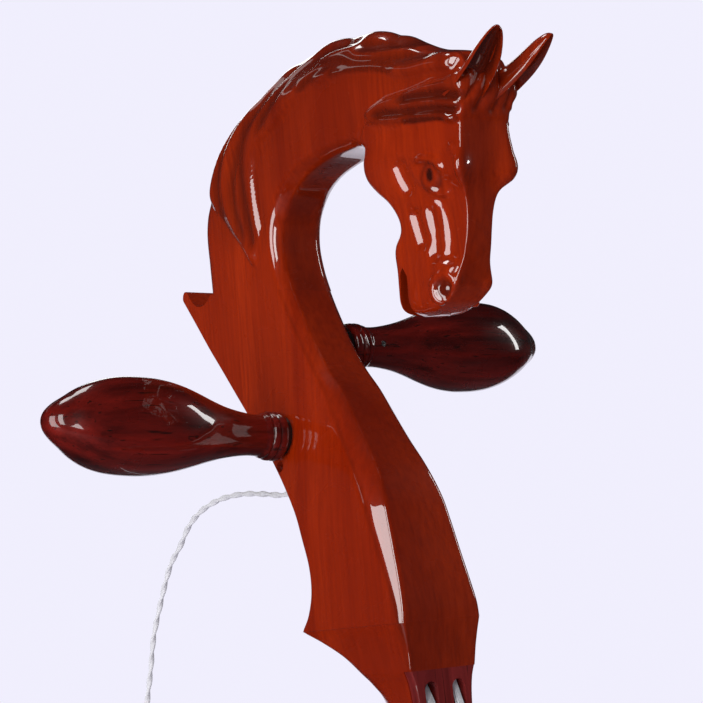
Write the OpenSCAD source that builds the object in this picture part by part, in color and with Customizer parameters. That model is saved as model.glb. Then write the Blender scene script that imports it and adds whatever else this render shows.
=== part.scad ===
// Morin khuur, the horse-head fiddle. A tapered soundbox carries a long neck with a
// rosewood facing, an open-backed pegbox with two big side pegs, and a horse's head
// carved on top. Up the neck is +Z, the strings are on the -Y side, and the origin is
// the middle of the end button's grip. Lengths are millimetres.

/* [Soundbox] */
// Height of the box, along the neck
box_h = 315; // [285:1:335]
// Width of the box at its top edge
box_top_w = 205; // [185:1:225]
// Width of the box at its bottom edge
box_bottom_w = 272; // [245:1:295]
// Depth of the ribs, between the two plates
rib_depth = 76; // [64:1:84]
// Thickness of the ribs
rib_t = 6; // [4:0.5:7]
// Thickness of the plates at their widest edge
plate_t = 4; // [3:0.5:5]
// Rise of the plates' arch at the middle line
arch_rise = 5; // [3:0.5:7]
// How far the plates stand out past the ribs
overhang = 3; // [2:0.5:4]
// Width of the dark binding let into the plates' edges
binding_w = 2.5; // [1.5:0.5:4]
// Width of the lining strips glued inside the ribs
lining_w = 7; // [5:0.5:9]
// Height of the lining strips, across the rib
lining_h = 9; // [6:0.5:12]
// Length of the block that the neck passes through
top_block_h = 34; // [26:1:40]
// Length of the block that holds the end button
tail_block_h = 26; // [20:1:34]
// Width of both end blocks
block_w = 66; // [54:1:76]
// Leg of the triangular corner blocks
corner_leg = 24; // [16:1:30]
// Side of the square stick that runs through the box
stick_w = 24; // [18:1:28]
// Diameter of the sound post
post_d = 9; // [7:0.5:11]
// Length of a sound hole from eye to eye
hole_len = 92; // [76:1:104]
// Width of a sound hole's slot
hole_slot = 6; // [4:0.5:8]

/* [Neck] */
// Length from the box to the top edge of the facing
neck_len = 448; // [420:1:470]
// Width of the neck where it meets the box
neck_bottom_w = 36; // [32:0.5:40]
// Width of the neck below the upper bridge
neck_top_w = 29; // [27:0.5:32]
// Width of the facing's flared top edge
facing_top_w = 35; // [33:0.5:38]
// Thickness of the rosewood facing
facing_t = 5; // [4:0.5:6]
// How far the facing stands forward of the front plate's edge
facing_proud = 6; // [5:0.5:10]
// Thickness of the neck at its middle, behind the facing
neck_t = 27; // [24:0.5:30]
// Extra thickness of the heel where the neck meets the box
heel_t = 30; // [20:1:36]
// Width of the two slots that the strings pass through
slot_w = 7; // [6:0.5:8]
// Length of those slots
slot_len = 20; // [16:1:24]

/* [Pegbox] */
// Half-width of the pegbox at its widest, near the bottom
pegbox_half_w = 22.5; // [21:0.5:24]
// Half-width of the carving and of the pegbox's top
carving_half_w = 15.5; // [14.5:0.5:17]
// Thickness of the cheeks either side of the open back
cheek_t = 5.5; // [4.5:0.5:6]
// Diameter of the small hole through the left cheek
cord_hole_d = 5.5; // [4:0.5:6]

/* [Pegs] */
// Diameter of the peg shafts
shaft_d = 10; // [8:0.5:11]
// Outer diameter of the black bushings
bushing_d = 19; // [16:0.5:20]
// How far a bushing stands proud of its cheek
bushing_proud = 2; // [1:0.5:3]
// Length of a handle from its collar face to the tip
handle_len = 122; // [105:1:130]
// Largest diameter of a handle
handle_d = 47; // [38:1:50]
// Diameter of a handle's waist
waist_d = 20; // [18:0.5:22]
// Diameter of the collar beads
collar_d = 23.5; // [22:0.5:26]
// Diameter of the screw that locks a handle to its shaft
lock_screw_d = 3; // [2:0.5:4]

/* [Strings] */
// Diameter of the cord that winds on the shafts
cord_d = 2.4; // [1.6:0.1:2.6]
// Turns of cord on each shaft
wind_turns = 5; // [3:1:5]
// Width of a flat filament string
string_w = 5; // [4:0.5:5.5]
// Thickness of a flat filament string
string_t = 2; // [1.5:0.1:2.4]
// Distance between the two strings at the upper bridge
nut_spacing = 15; // [14:0.5:16]
// Distance between the two strings at the bridge
bridge_spacing = 26; // [20:1:32]

/* [Fittings] */
// Height of the bridge from the plate to the strings
bridge_h = 30; // [24:1:36]
// Distance of the bridge above the box's bottom edge
bridge_up = 140; // [120:1:160]
// Width across the bridge's feet
bridge_w = 84; // [70:1:92]
// Thickness of the bridge at its feet
bridge_t = 9; // [7:0.5:11]
// Height of the upper bridge over the facing
nut_h = 8; // [6:0.5:10]
// Thickness of the upper bridge
nut_t = 6; // [5:0.5:8]
// Distance of the upper bridge below the facing's top edge
nut_down = 34; // [32:0.5:38]
// Length of the tailpiece
tail_len = 62; // [50:1:72]
// Width of the tailpiece at its top
tail_w = 44; // [38:1:50]
// Thickness of the tailpiece
tail_t = 8; // [6:0.5:10]
// Diameter of the gut loop that holds the tailpiece
gut_d = 3; // [2:0.25:3.5]
// Diameter of the end button's grip
button_d = 18; // [14:0.5:22]
// Length of the end button's grip
button_len = 12; // [10:0.5:14]
// Diameter of the neck of the end button
button_neck_d = 11; // [9:0.5:12]

/* [Hidden] */
$fn = 64;

// Clearances: glued or pressed round parts, turning parts, and parts that only rest
fit_gap = 0.05;
turn_gap = 0.4;
rest_gap = 0.3;
over = 1;

maple = [0.62, 0.18, 0.07];
maple_dark = [0.42, 0.12, 0.06];
spruce = [0.74, 0.36, 0.14];
rosewood = [0.25, 0.06, 0.05];
ebony = [0.06, 0.05, 0.05];
nylon = [0.9, 0.9, 0.88];

// Places along the neck
groove_len = gut_d + 3;
box_z = button_len / 2 + groove_len;
box_top = box_z + box_h;
facing_z = box_top + neck_len;
rib_y = rib_depth / 2;
facing_y = -rib_y - plate_t - facing_proud;
neck_y = facing_y + facing_t;
neck_foot = box_top + overhang;
seam_down = nut_down + 10;
nut_z = facing_z - nut_down;
bridge_z = box_z + bridge_up;

// The soundbox outline: half-width of the ribs at height z, and its inset copies
slope = (box_bottom_w - box_top_w) / 2 / box_h;
lean = 1 / cos(atan(slope));
function rib_half(z) = box_bottom_w / 2 - overhang - slope * (z - box_z);
function outline(inset, top = box_top, bottom = box_z) =
    let (a = bottom + inset, b = top - inset)
    [[-rib_half(a) + inset * lean, a], [rib_half(a) - inset * lean, a],
     [rib_half(b) - inset * lean, b], [-rib_half(b) + inset * lean, b]];

// Extrudes an x-z outline from depth y0 to depth y1
module slab(y0, y1) {
    translate([0, y1, 0]) rotate([90, 0, 0]) linear_extrude(y1 - y0) children();
}

// Extrudes a y-z outline over a width that is centred on the middle plane
module across(w) {
    translate([-w / 2, 0, 0]) rotate([90, 0, 90]) linear_extrude(w) children();
}

// The plates' outsides are rounded from side to side, as an arc in flat strips
arch_r = (pow(box_bottom_w / 2, 2) + pow(arch_rise, 2)) / 2 / arch_rise;
arch_y = rib_y + plate_t + arch_rise;
arch_strips = 29;
arch_span = asin(box_bottom_w / 2 / arch_r) * 1.02;
module arch(extra = 0) {
    r = arch_r + extra;
    translate([0, arch_r - arch_y, box_z - 3 * overhang])
        linear_extrude(box_h + 6 * overhang) polygon(concat([[0, 0]],
            [for (i = [0 : arch_strips]) let (a = arch_span * (2 * i / arch_strips - 1))
                [r * sin(a), -r * cos(a)]]));
}
module plate_solid(inset) {
    intersection() {
        slab(-arch_y - over, -rib_y) polygon(outline(inset - overhang));
        arch();
    }
}

// A ring of points to a closed tube: faces between rings, and two flat ends
function tube_faces(rings, sides) = concat(
    [[for (j = [0 : sides - 1]) j]],
    [for (i = [0 : rings - 2], j = [0 : sides - 1], k = [0, 1])
        let (a = i * sides + j, b = i * sides + (j + 1) % sides)
        k == 0 ? [a, a + sides, b] : [b, a + sides, b + sides]],
    [[for (j = [sides - 1 : -1 : 0]) (rings - 1) * sides + j]]);
module loft(rings) {
    polyhedron(points = [for (r = rings) each r],
        faces = tube_faces(len(rings), len(rings[0])), convexity = 8);
}

// Smooth curve through control rows of numbers
function pick(rows, i) = rows[max(0, min(len(rows) - 1, i))];
function curve(a, b, c, d, t) =
    0.5 * (2 * b + (c - a) * t + (2 * a - 5 * b + 4 * c - d) * t * t
    + (3 * b - a - 3 * c + d) * t * t * t);
function along(rows, s) =
    let (i = min(floor(s), len(rows) - 2), t = s - i)
    curve(pick(rows, i - 1), pick(rows, i), pick(rows, i + 1), pick(rows, i + 2), t);
function unit(v) = v / norm(v);
function mix(a, b, t) = a + (b - a) * t;

// A tube of round or flat section along points. Each size is [half-width in X, half-thickness].
function tangent(p, i) =
    unit(pick(p, i + 1) - pick(p, i - 1));
function sweep_ring(p, i, size, sides) =
    let (t = tangent(p, i), side = unit([1, 0, 0] - t * t[0]), up = cross(t, side))
    [for (j = [0 : sides - 1])
        let (a = 360 * j / sides) p[i] + side * size[0] * cos(a) + up * size[1] * sin(a)];
module sweep(p, sizes, sides) {
    loft([for (i = [0 : len(p) - 1]) sweep_ring(p, i, pick(sizes, i), sides)]);
}

// Half-widths of the neck's and the pegbox's faces, in heights from the facing's top edge
neck_half = neck_top_w / 2;
facing_half = facing_top_w / 2;
front_half = carving_half_w - 2;
soft_edge = 0.5;

// Pegbox rows: height, front depth, back depth, half-width of the sides, half-width of the
// front face, chamfer depth, and the depth of the rounding at the back
pegbox_rows = [
    [-seam_down, 0, facing_t + neck_t, neck_half, neck_half - soft_edge, 1, 16],
    [-26, 0, facing_t + neck_t, neck_half, neck_half - soft_edge, 1, 16],
    [-13, 0, 35, neck_half + 0.6, neck_half + 0.6 - soft_edge, 1, 16],
    [-5, 0, 41, mix(neck_half, facing_half, 0.6),
        mix(neck_half, facing_half, 0.6) - soft_edge, 1, 14],
    [0, 0, 45, facing_half + soft_edge, facing_half, 1, 12],
    [9, -1, 55, mix(facing_half, pegbox_half_w, 0.6), facing_half + 1.5, 1.2, 8],
    [16, -2, 67, mix(facing_half, pegbox_half_w, 0.85), facing_half + 2.5, 2, 5],
    [21, -3, 75.5, pegbox_half_w, facing_half + 3, 2.6, 2],
    [28, -3, 70, pegbox_half_w, facing_half + 2.5, 3.6, 2],
    [38, -1, 66, pegbox_half_w, facing_half + 1.5, 5, 2],
    [50, 2, 66, pegbox_half_w, facing_half + 0.5, 6.5, 2],
    [64, 5.5, 70, pegbox_half_w, facing_half, 8, 2],
    [76, 9, 75, pegbox_half_w - 0.7, front_half + 3, 9, 2],
    [90, 15.5, 84, pegbox_half_w - 1.8, front_half + 1.4, 8.8, 2],
    [104, 25, 95, mix(pegbox_half_w, carving_half_w, 0.45), front_half + 0.4, 7.8, 2],
    [117, 33.5, 106, mix(pegbox_half_w, carving_half_w, 0.65), front_half, 6.8, 2],
    [130, 42, 118, mix(pegbox_half_w, carving_half_w, 0.83), front_half, 5.2, 2],
    [142, 52, 129, mix(pegbox_half_w, carving_half_w, 0.95), front_half, 3.4, 2],
    [155, 60.5, 140, carving_half_w, front_half, 2.2, 2],
    [169, 68, 151.5, carving_half_w, front_half, 2, 2],
    [184, 75, 163, carving_half_w, front_half, 2, 2],
    [198, 79.5, 171, carving_half_w, front_half, 2, 2],
    [204, 81, 173, carving_half_w, front_half, 2, 2]];
back_steps = 5;
function pegbox_side(r) = concat([[r[4], r[1]], [r[3], r[1] + r[5]]],
    [for (i = [0 : back_steps]) let (a = 90 * i / back_steps, b = min(r[6], r[3] - 1))
        [r[3] - b + b * cos(a), r[2] - r[6] + r[6] * sin(a)]]);
function pegbox_ring(r) = let (s = pegbox_side(r), n = len(s)) concat(
    [for (p = s) [p[0], facing_y + p[1], facing_z + r[0]]],
    [for (i = [n - 1 : -1 : 0]) [-s[i][0], facing_y + s[i][1], facing_z + r[0]]]);
function pegbox_half(z) = lookup(z, [for (r = pegbox_rows) [r[0], r[3]]]);

// The seam between the pegbox and the carving, and the notch under the mane
seam_front = [75, 184];
seam_back = [144.5, 196];

// Peg axes: depth and height from the facing's top edge, and tilt in degrees
left_peg = [84.5, 112.3, 4.2];
right_peg = [77, 156.3, 0.7];
shaft_r = shaft_d / 2;
bushing_r = bushing_d / 2;
blind = cheek_t - 1.5;
left_face = pegbox_half(left_peg[1]);
right_face = pegbox_half(right_peg[1]);

// Puts children on a peg's axis, with +Z pointing out of the pegbox through the given side
module on_peg(peg, side) {
    translate([0, facing_y + peg[0], facing_z + peg[1]])
        rotate([0, side * (90 - peg[2]), 0]) children();
}

// The open back: depth and height of its outline, and its half-width at each height
cavity_low = pegbox_half_w - cheek_t - 1;
cavity_high = carving_half_w - cheek_t;
cavity_side = [[22, 36], [18, 46], [29, 75], [41, 103], [50, 124], [63, 149], [73.5, 170],
    [82, 177], [96, 179], [170, 179], [160, 168], [135, 138], [115, 117], [90, 83],
    [80, 63], [80, 44], [60, 36], [30, 32]];
cavity_front = [[-14, 31], [-cavity_low, 60], [-cavity_low, 90],
    [-left_face + cheek_t, left_peg[1]], [-cavity_high, right_peg[1]], [-cavity_high, 185],
    [cavity_high, 185], [cavity_high, right_peg[1]], [left_face - cheek_t, left_peg[1]],
    [cavity_low, 90], [cavity_low, 60], [14, 31]];
module cavity() {
    translate([0, facing_y, facing_z]) intersection() {
        across(4 * pegbox_half_w) polygon(cavity_side);
        slab(0, 200) polygon(cavity_front);
    }
}

// String slots: they open in the facing and slant back and up into the open back
slot_x = nut_spacing / 2;
slot_top = -5;
module slot_outline() {
    for (s = [-1, 1]) translate([s * slot_x, slot_top - slot_len / 2]) {
        square([slot_w, slot_len - slot_w], center = true);
        for (e = [-1, 1]) translate([0, e * (slot_len - slot_w) / 2]) circle(d = slot_w);
    }
}
module pegbox() {
    color(maple) difference() {
        loft([for (r = pegbox_rows) pegbox_ring(r)]);
        cavity();
        string_channels();
        // the rosewood facing lies in here
        translate([-50, facing_y - 20, facing_z - seam_down - over])
            cube([100, 20 + facing_t, seam_down + over]);
        // above the seam the carved head takes over, up to the notch
        translate([0, facing_y, facing_z]) across(4 * pegbox_half_w)
            polygon([seam_front + [-60, -10.4], seam_back, [151, 193.5], [158, 194],
                [166, 198.5], [170, 202], [176, 202], [176, 230], [15, 230]]);
        // bores: through one cheek for the bushing, blind in the other for the shaft's end
        on_peg(left_peg, -1) translate([0, 0, left_face - cheek_t - 3])
            cylinder(h = 20, r = bushing_r + fit_gap);
        on_peg(left_peg, -1) translate([0, 0, -left_face + cheek_t - blind])
            cylinder(h = blind + 6, r = shaft_r + fit_gap);
        on_peg(right_peg, 1) translate([0, 0, right_face - cheek_t - 3])
            cylinder(h = 20, r = bushing_r + fit_gap);
        on_peg(right_peg, 1) translate([0, 0, -right_face + cheek_t - blind])
            cylinder(h = blind + 6, r = shaft_r + fit_gap);
        translate([-pegbox_half_w - over, facing_y + 86, facing_z + 99.5]) rotate([0, 90, 0])
            cylinder(h = cheek_t + 8, d = cord_hole_d);
    }
}

// The neck: a D-shaped shaft with a heel, and a square stick that runs on through the box
neck_rows = [
    [-neck_len, 0, facing_t + neck_t + heel_t, neck_bottom_w / 2,
        neck_bottom_w / 2 - soft_edge, 1, 14],
    [-neck_len + 12, 0, facing_t + neck_t + heel_t * 0.9, neck_bottom_w / 2,
        neck_bottom_w / 2 - soft_edge, 1, 15],
    [-neck_len + 30, 0, facing_t + neck_t + heel_t * 0.62, neck_bottom_w / 2 - 0.3,
        neck_bottom_w / 2 - 0.3 - soft_edge, 1, 16],
    [-neck_len + 52, 0, facing_t + neck_t + heel_t * 0.3, neck_bottom_w / 2 - 0.6,
        neck_bottom_w / 2 - 0.6 - soft_edge, 1, 17],
    [-neck_len + 80, 0, facing_t + neck_t + heel_t * 0.12, neck_bottom_w / 2 - 1,
        neck_bottom_w / 2 - 1 - soft_edge, 1, 18],
    [-neck_len + 120, 0, facing_t + neck_t + heel_t * 0.04, neck_bottom_w / 2 - 1.5,
        neck_bottom_w / 2 - 1.5 - soft_edge, 1, 18],
    [-seam_down - 60, 0, facing_t + neck_t, neck_half + 0.6, neck_half + 0.6 - soft_edge, 1, 17],
    [-seam_down, 0, facing_t + neck_t, neck_half, neck_half - soft_edge, 1, 16]];
stick_y = neck_y + facing_t + neck_t / 2 + heel_t / 4;
mortise = 10;
stick_bottom = box_z + rib_t + tail_block_h - mortise;
module stick(z0, z1) {
    translate([-stick_w / 2, stick_y - stick_w / 2, z0]) cube([stick_w, stick_w, z1 - z0]);
}
module neck() {
    color(maple) difference() {
        union() {
            loft([for (r = neck_rows) pegbox_ring(r)]);
            stick(stick_bottom, box_top + over);
        }
        // the facing's bed, and the step that clears the front plate's edge
        translate([-50, facing_y - 20, neck_foot]) cube([100, 20 + facing_t, neck_len]);
        translate([-50, facing_y - 20, box_top - over])
            cube([100, -rib_y - facing_y + 20, overhang + over]);
    }
}

// The rosewood facing follows the neck's edges up to its flared top
facing_rows = concat([for (r = neck_rows) if (r[0] < -seam_down) [r[0], r[4]]],
    [for (r = pegbox_rows) if (r[0] <= 0) [r[0], r[4]]]);
function facing_half_at(z) = lookup(z, facing_rows);
module facing() {
    foot = neck_foot - facing_z;
    heights = concat([foot], [for (r = facing_rows) if (r[0] > foot) r[0]]);
    edge = [for (h = heights) [facing_half_at(h), h]];
    color(rosewood) difference() {
        translate([0, 0, facing_z]) slab(facing_y, neck_y) polygon(concat(edge,
            [for (i = [len(edge) - 1 : -1 : 0]) [-edge[i][0], edge[i][1]]]));
        translate([0, 0, facing_z]) slab(facing_y - over, neck_y + over) slot_outline();
        string_channels();
    }
}

// The upper bridge stands on the facing with a notch for each string
module upper_bridge() {
    w = 2 * facing_half_at(-nut_down) - 2;
    top = facing_y - nut_h;
    color(ebony) difference() {
        intersection() {
            translate([-w / 2, top, nut_z - nut_t / 2]) cube([w, nut_h, nut_t]);
            translate([-w, top + nut_h, nut_z]) rotate([0, 90, 0])
                cylinder(h = 2 * w, r = nut_h);
        }
        for (s = [-1, 1])
            translate([s * slot_x - string_w / 2 - rest_gap, top - over, nut_z - nut_t])
                cube([string_w + 2 * rest_gap, string_t / 2 + over, 2 * nut_t]);
    }
}

// Pegs. Along a peg's axis, these are distances from the middle plane outwards.
function cheek_face(peg) = pegbox_half(peg[1]);
function collar_face(peg) = cheek_face(peg) + bushing_proud + turn_gap;
module bushing(peg, side) {
    length = cheek_t + bushing_proud;
    color(ebony) on_peg(peg, side) translate([0, 0, cheek_face(peg) - cheek_t])
        difference() {
            cylinder(h = length, r = bushing_r);
            translate([0, 0, -over]) cylinder(h = length + 2 * over, r = shaft_r + fit_gap);
        }
}
module left_bushing() { bushing(left_peg, -1); }
module right_bushing() { bushing(right_peg, 1); }

// Handle: turned collar beads, then a leaf with four soft ridges that swells and closes
collar_len = 12;
leaf_rows = [[-0.02, 0, 2], [0.04, 0, 2], [0.1, 0.06, 1.95], [0.17, 0.18, 1.85],
    [0.24, 0.36, 1.74], [0.31, 0.57, 1.64], [0.38, 0.76, 1.56], [0.45, 0.9, 1.5],
    [0.52, 0.98, 1.47], [0.58, 1, 1.46], [0.65, 0.985, 1.46], [0.72, 0.91, 1.48],
    [0.79, 0.74, 1.52], [0.855, 0.47, 1.58], [0.91, 0.14, 1.68], [0.95, -0.1, 1.8],
    [0.98, -0.35, 1.9], [0.996, -0.6, 2], [1, -0.78, 2]];
leaf_sides = 28;
function leaf_r(a, r, n) = r / pow(pow(abs(cos(a)), n) + pow(abs(sin(a)), n), 1 / n);
function leaf_ring(row, ridge) =
    let (r = waist_d / 2 + row[1] * (handle_d - waist_d) / 2,
        z = collar_len + row[0] * (handle_len - collar_len))
    [for (j = [0 : leaf_sides - 1]) let (a = 360 * j / leaf_sides, q = leaf_r(a, r, row[2]))
        [q * cos(a + ridge), q * sin(a + ridge), z]];
screw_up = collar_len + 5;
module peg_handle(peg, side, ridge, screw_a) {
    bead = collar_d / 2;
    color(rosewood) on_peg(peg, side) translate([0, 0, collar_face(peg)]) difference() {
        union() {
            loft([for (r = leaf_rows) leaf_ring(r, ridge)]);
            rotate_extrude() polygon([[0, 0], [bead - 1, 0], [bead, 1.2], [bead, 3.4],
                [bead - 0.9, 4.3], [bead, 5.2], [bead - 0.2, 7], [bead - 1.3, 7.9],
                [bead - 0.9, 9], [bead - 1.6, 10.4], [waist_d / 2 - 0.1, collar_len + 1],
                [0, collar_len + 1]]);
        }
        translate([0, 0, -over]) cylinder(h = shaft_in + over, r = shaft_r + fit_gap);
        translate([0, 0, screw_up]) rotate([0, 90, screw_a])
            cylinder(h = handle_d, d = lock_screw_d + 2 * fit_gap);
    }
}
module left_peg_handle() { peg_handle(left_peg, -1, 63, 90); }
module right_peg_handle() { peg_handle(right_peg, 1, 20, -90); }

// Shaft: from a blind bore in the far cheek to inside the handle, drilled for the cord
shaft_in = 48;
cord_r = cord_d / 2;
wind_pitch = cord_d + 0.5;
wind_r = shaft_r + cord_r + 0.15;
wind_start = slot_x - wind_turns * wind_pitch;
function exit_angle(peg, side) =
    let (n = exit_normal(peg)) side > 0 ? atan2(n[0], -n[1]) : atan2(n[0], n[1]);
module peg_shaft(peg, side) {
    low = -(cheek_face(peg) - cheek_t + blind - 0.5);
    high = collar_face(peg) + shaft_in - 0.5;
    color(rosewood) on_peg(peg, side) difference() {
        translate([0, 0, low]) cylinder(h = high - low, r = shaft_r);
        translate([0, 0, wind_start]) rotate([0, 90, exit_angle(peg, side)])
            translate([0, 0, 1]) cylinder(h = shaft_d, r = cord_r + rest_gap);
    }
}
module left_peg_shaft() { peg_shaft(left_peg, -1); }
module right_peg_shaft() { peg_shaft(right_peg, 1); }

// A slotted headless screw through the handle's waist, down on the shaft
module lock_screw(peg, side, screw_a) {
    length = waist_d / 2 - shaft_r - 0.3;
    color("silver") on_peg(peg, side)
        translate([0, 0, collar_face(peg) + screw_up]) rotate([0, 90, screw_a])
        translate([0, 0, shaft_r + fit_gap]) difference() {
            cylinder(h = length, d = lock_screw_d);
            translate([-lock_screw_d, -0.25, length - 0.9])
                cube([2 * lock_screw_d, 0.5, 2]);
        }
}
module left_lock_screw() { lock_screw(left_peg, -1, 90); }
module right_lock_screw() { lock_screw(right_peg, 1, -90); }

// Each string leaves its shaft on the front side and runs straight to its slot.
// These pairs are depth and height from the facing's top edge.
slot_point = [0, slot_top - slot_len * 0.6];
function centre(peg) = [peg[0], peg[1]];
function exit_normal(peg) =
    let (d = slot_point - centre(peg), c = wind_r / norm(d), u = unit(d))
    c * u + sqrt(1 - c * c) * [u[1], -u[0]];
function exit_point(peg) = centre(peg) + wind_r * exit_normal(peg);
function exit_dir(peg) = unit(slot_point - exit_point(peg));

// Winding: in through the shaft's cross hole, round the shaft, and off at a tangent
loop_rings = 24;
bend_r = 1.5;
function polar(r, a, z) = [r * cos(a), r * sin(a), z];
function wind_path(peg, side) =
    let (a0 = exit_angle(peg, side), lead = asin(bend_r / wind_r),
        last = polar(wind_r, a0, slot_x),
        leave = side * [-sin(a0), cos(a0), 0])
    concat([for (r = [wind_r - bend_r - cord_d, wind_r - bend_r - 0.6]) polar(r, a0, wind_start)],
        [for (b = [0 : 22.5 : 67.5])
            polar(wind_r - bend_r + bend_r * sin(b), a0, wind_start)
            + side * bend_r * (1 - cos(b)) * [-sin(a0), cos(a0), 0]],
        [for (i = [1 : wind_turns * loop_rings]) let (t = i / loop_rings)
            if (t * 360 > lead + 6)
            polar(wind_r, a0 + side * 360 * t, wind_start + wind_pitch * t)],
        [last + leave * cord_d * 0.4, last + leave * (cord_d + 0.4)]);
function least_gap(p) = min([for (i = [0 : len(p) - 1], j = [i + loop_rings / 2 : len(p) - 1])
    norm(p[i] - p[j])]) - cord_d;
module winding(peg, side) {
    path = wind_path(peg, side);
    echo(least_gap_of_winding_to_itself = least_gap(path));
    color(nylon) on_peg(peg, side) sweep(path, [[cord_r, cord_r]], 6);
}
module left_winding() { winding(left_peg, -1); }
module right_winding() { winding(right_peg, 1); }

// Strings: from beside a winding, out of a slot, over both bridges, into the tailpiece
tail_tilt = 8;
tail_foot = [-(arch_y + gut_d + 5), box_z + 24];
tail_top = tail_foot + tail_len * [-sin(tail_tilt), cos(tail_tilt)];
string_clear = sqrt(pow(wind_r + cord_r + rest_gap, 2) - pow(wind_r - cord_r, 2)) + rest_gap;
nut_y = facing_y - nut_h - rest_gap;
bridge_y = -(arch_y + bridge_h);
function string_path(peg, side) =
    let (head = [facing_y, facing_z], x = side * slot_x, xb = side * bridge_spacing / 2,
        start = head + exit_point(peg) + string_clear * exit_dir(peg),
        cord_end = head + exit_point(peg) + (string_clear + 16) * exit_dir(peg),
        out = head + slot_point, xt = side * (bridge_spacing / 2 - 3),
        grip = tail_top - 9 * [-sin(tail_tilt), cos(tail_tilt)])
    [[x, start[0], start[1]], [x, mix(start[0], cord_end[0], 0.6), mix(start[1], cord_end[1], 0.6)],
     [x, cord_end[0], cord_end[1]],
     [x, mix(cord_end[0], out[0], 0.5), mix(cord_end[1], out[1], 0.5)],
     [x, out[0] - 5 * exit_dir(peg)[0], out[1] - 5 * exit_dir(peg)[1]],
     [x, out[0] - 0.8, out[1] - 2.4],
     [x, nut_y + 0.4, nut_z + 4.5], [x, nut_y - string_t * 0.1, nut_z + 1.5],
     [x, nut_y - string_t * 0.1, nut_z - 2], [x, nut_y, nut_z - 8],
     [mix(x, xb, 0.5), mix(nut_y, bridge_y, 0.5), mix(nut_z, bridge_z, 0.5)],
     [xb, bridge_y + 0.3, bridge_z + 12], [xb, bridge_y - string_t * 0.2, bridge_z + 2.5],
     [xb, bridge_y - string_t * 0.2, bridge_z - 2.5], [xb, bridge_y + 2.6, bridge_z - 8],
     [mix(xb, xt, 0.9), mix(bridge_y, tail_top[0], 0.92), mix(bridge_z, tail_top[1], 0.92)],
     [xt, tail_top[0], tail_top[1]], [xt, grip[0], grip[1]]];
thin = [cord_r, cord_r];
flat = [string_w / 2, string_t / 2];
string_sizes = concat([thin, thin, mix(thin, flat, 0.5)], [for (i = [3 : 17]) flat]);
module string(peg, side) {
    color(nylon) sweep(string_path(peg, side), string_sizes, 10);
}
module low_string() { string(left_peg, -1); }
module high_string() { string(right_peg, 1); }

// String channels: from each slot up into the open back, along its string
channel_h = 8;
module string_channels() {
    for (side = [-1, 1]) {
        peg = side < 0 ? left_peg : right_peg;
        e = exit_dir(peg);
        translate([side * slot_x, facing_y + slot_point[0], facing_z + slot_point[1]])
            rotate([-atan2(-e[0], -e[1]), 0, 0]) translate([-slot_w / 2, -channel_h / 2, -8])
                cube([slot_w, channel_h, 74]);
    }
}

// The loose end of the tying cord starts at the low string's knot and hangs free behind
// the pegbox. Depth and height are measured from the facing's top edge.
tail_cord_d = 3;
tail_cord_route = [[-10.4, 69, 99], [-11.6, 72, 96], [-12, 80, 91], [-13, 94, 87], [-14, 110, 89],
    [-16, 126, 91], [-18, 142, 91], [-19, 156, 89], [-20, 168, 85], [-20, 179, 79],
    [-20, 188, 71], [-20, 199, 63], [-20, 208, 52], [-20, 216, 40], [-21, 223, 25],
    [-21, 229, 8], [-22, 234, -10], [-22, 238, -30], [-23, 241, -50], [-23, 243, -70]];
tail_cord_steps = 3;
module string_tail() {
    n = (len(tail_cord_route) - 1) * tail_cord_steps;
    path = [for (i = [0 : n]) [0, facing_y, facing_z]
        + along(tail_cord_route, i / tail_cord_steps)];
    color("white") sweep(path, [[tail_cord_d / 2, tail_cord_d / 2]], 8);
}

// Plates: arched from side to side, edged with binding
module sound_hole(side) {
    r = hole_len / 2 / sin(50);
    for (e = [0, 1]) rotate(180 * e) {
        translate([r, 0]) intersection() {
            difference() {
                circle(r = r + hole_slot / 2);
                circle(r = r - hole_slot / 2);
            }
            polygon([[0, 0], [-2 * r, -0.1], [-2 * r * cos(50), 2 * r * sin(50)]]);
        }
        translate([r - r * cos(50), r * sin(50)]) circle(r = hole_slot);
    }
}
saddle_w = 34;
saddle_up = 8;
module saddle_block(extra = 0) {
    translate([-saddle_w / 2 - extra, -arch_y - 2, box_z - overhang])
        cube([saddle_w + 2 * extra, plate_t + arch_rise + 2, overhang + saddle_up + extra]);
}
hole_x = bridge_w / 2 + 14;
module front_plate() {
    color(spruce) difference() {
        plate_solid(binding_w);
        for (s = [-1, 1]) translate([s * hole_x, 0, bridge_z + 6])
            slab(-arch_y - over, -rib_y + over) mirror([s < 0 ? 1 : 0, 0]) sound_hole(s);
        saddle_block();
    }
}
module back_plate() {
    color(maple) mirror([0, 1, 0]) plate_solid(binding_w);
}
module binding_ring() {
    difference() {
        plate_solid(0);
        slab(-arch_y - 2 * over, -rib_y + over) polygon(outline(binding_w - overhang));
    }
}
module front_binding() {
    color(ebony) difference() {
        binding_ring();
        saddle_block();
    }
}
module back_binding() {
    color(ebony) mirror([0, 1, 0]) binding_ring();
}
module bottom_saddle() {
    color(ebony) intersection() {
        saddle_block();
        translate([-saddle_w, -arch_y + 5, box_z + 4]) rotate([0, 90, 0])
            cylinder(h = 2 * saddle_w, r = 7.5);
    }
}

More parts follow.
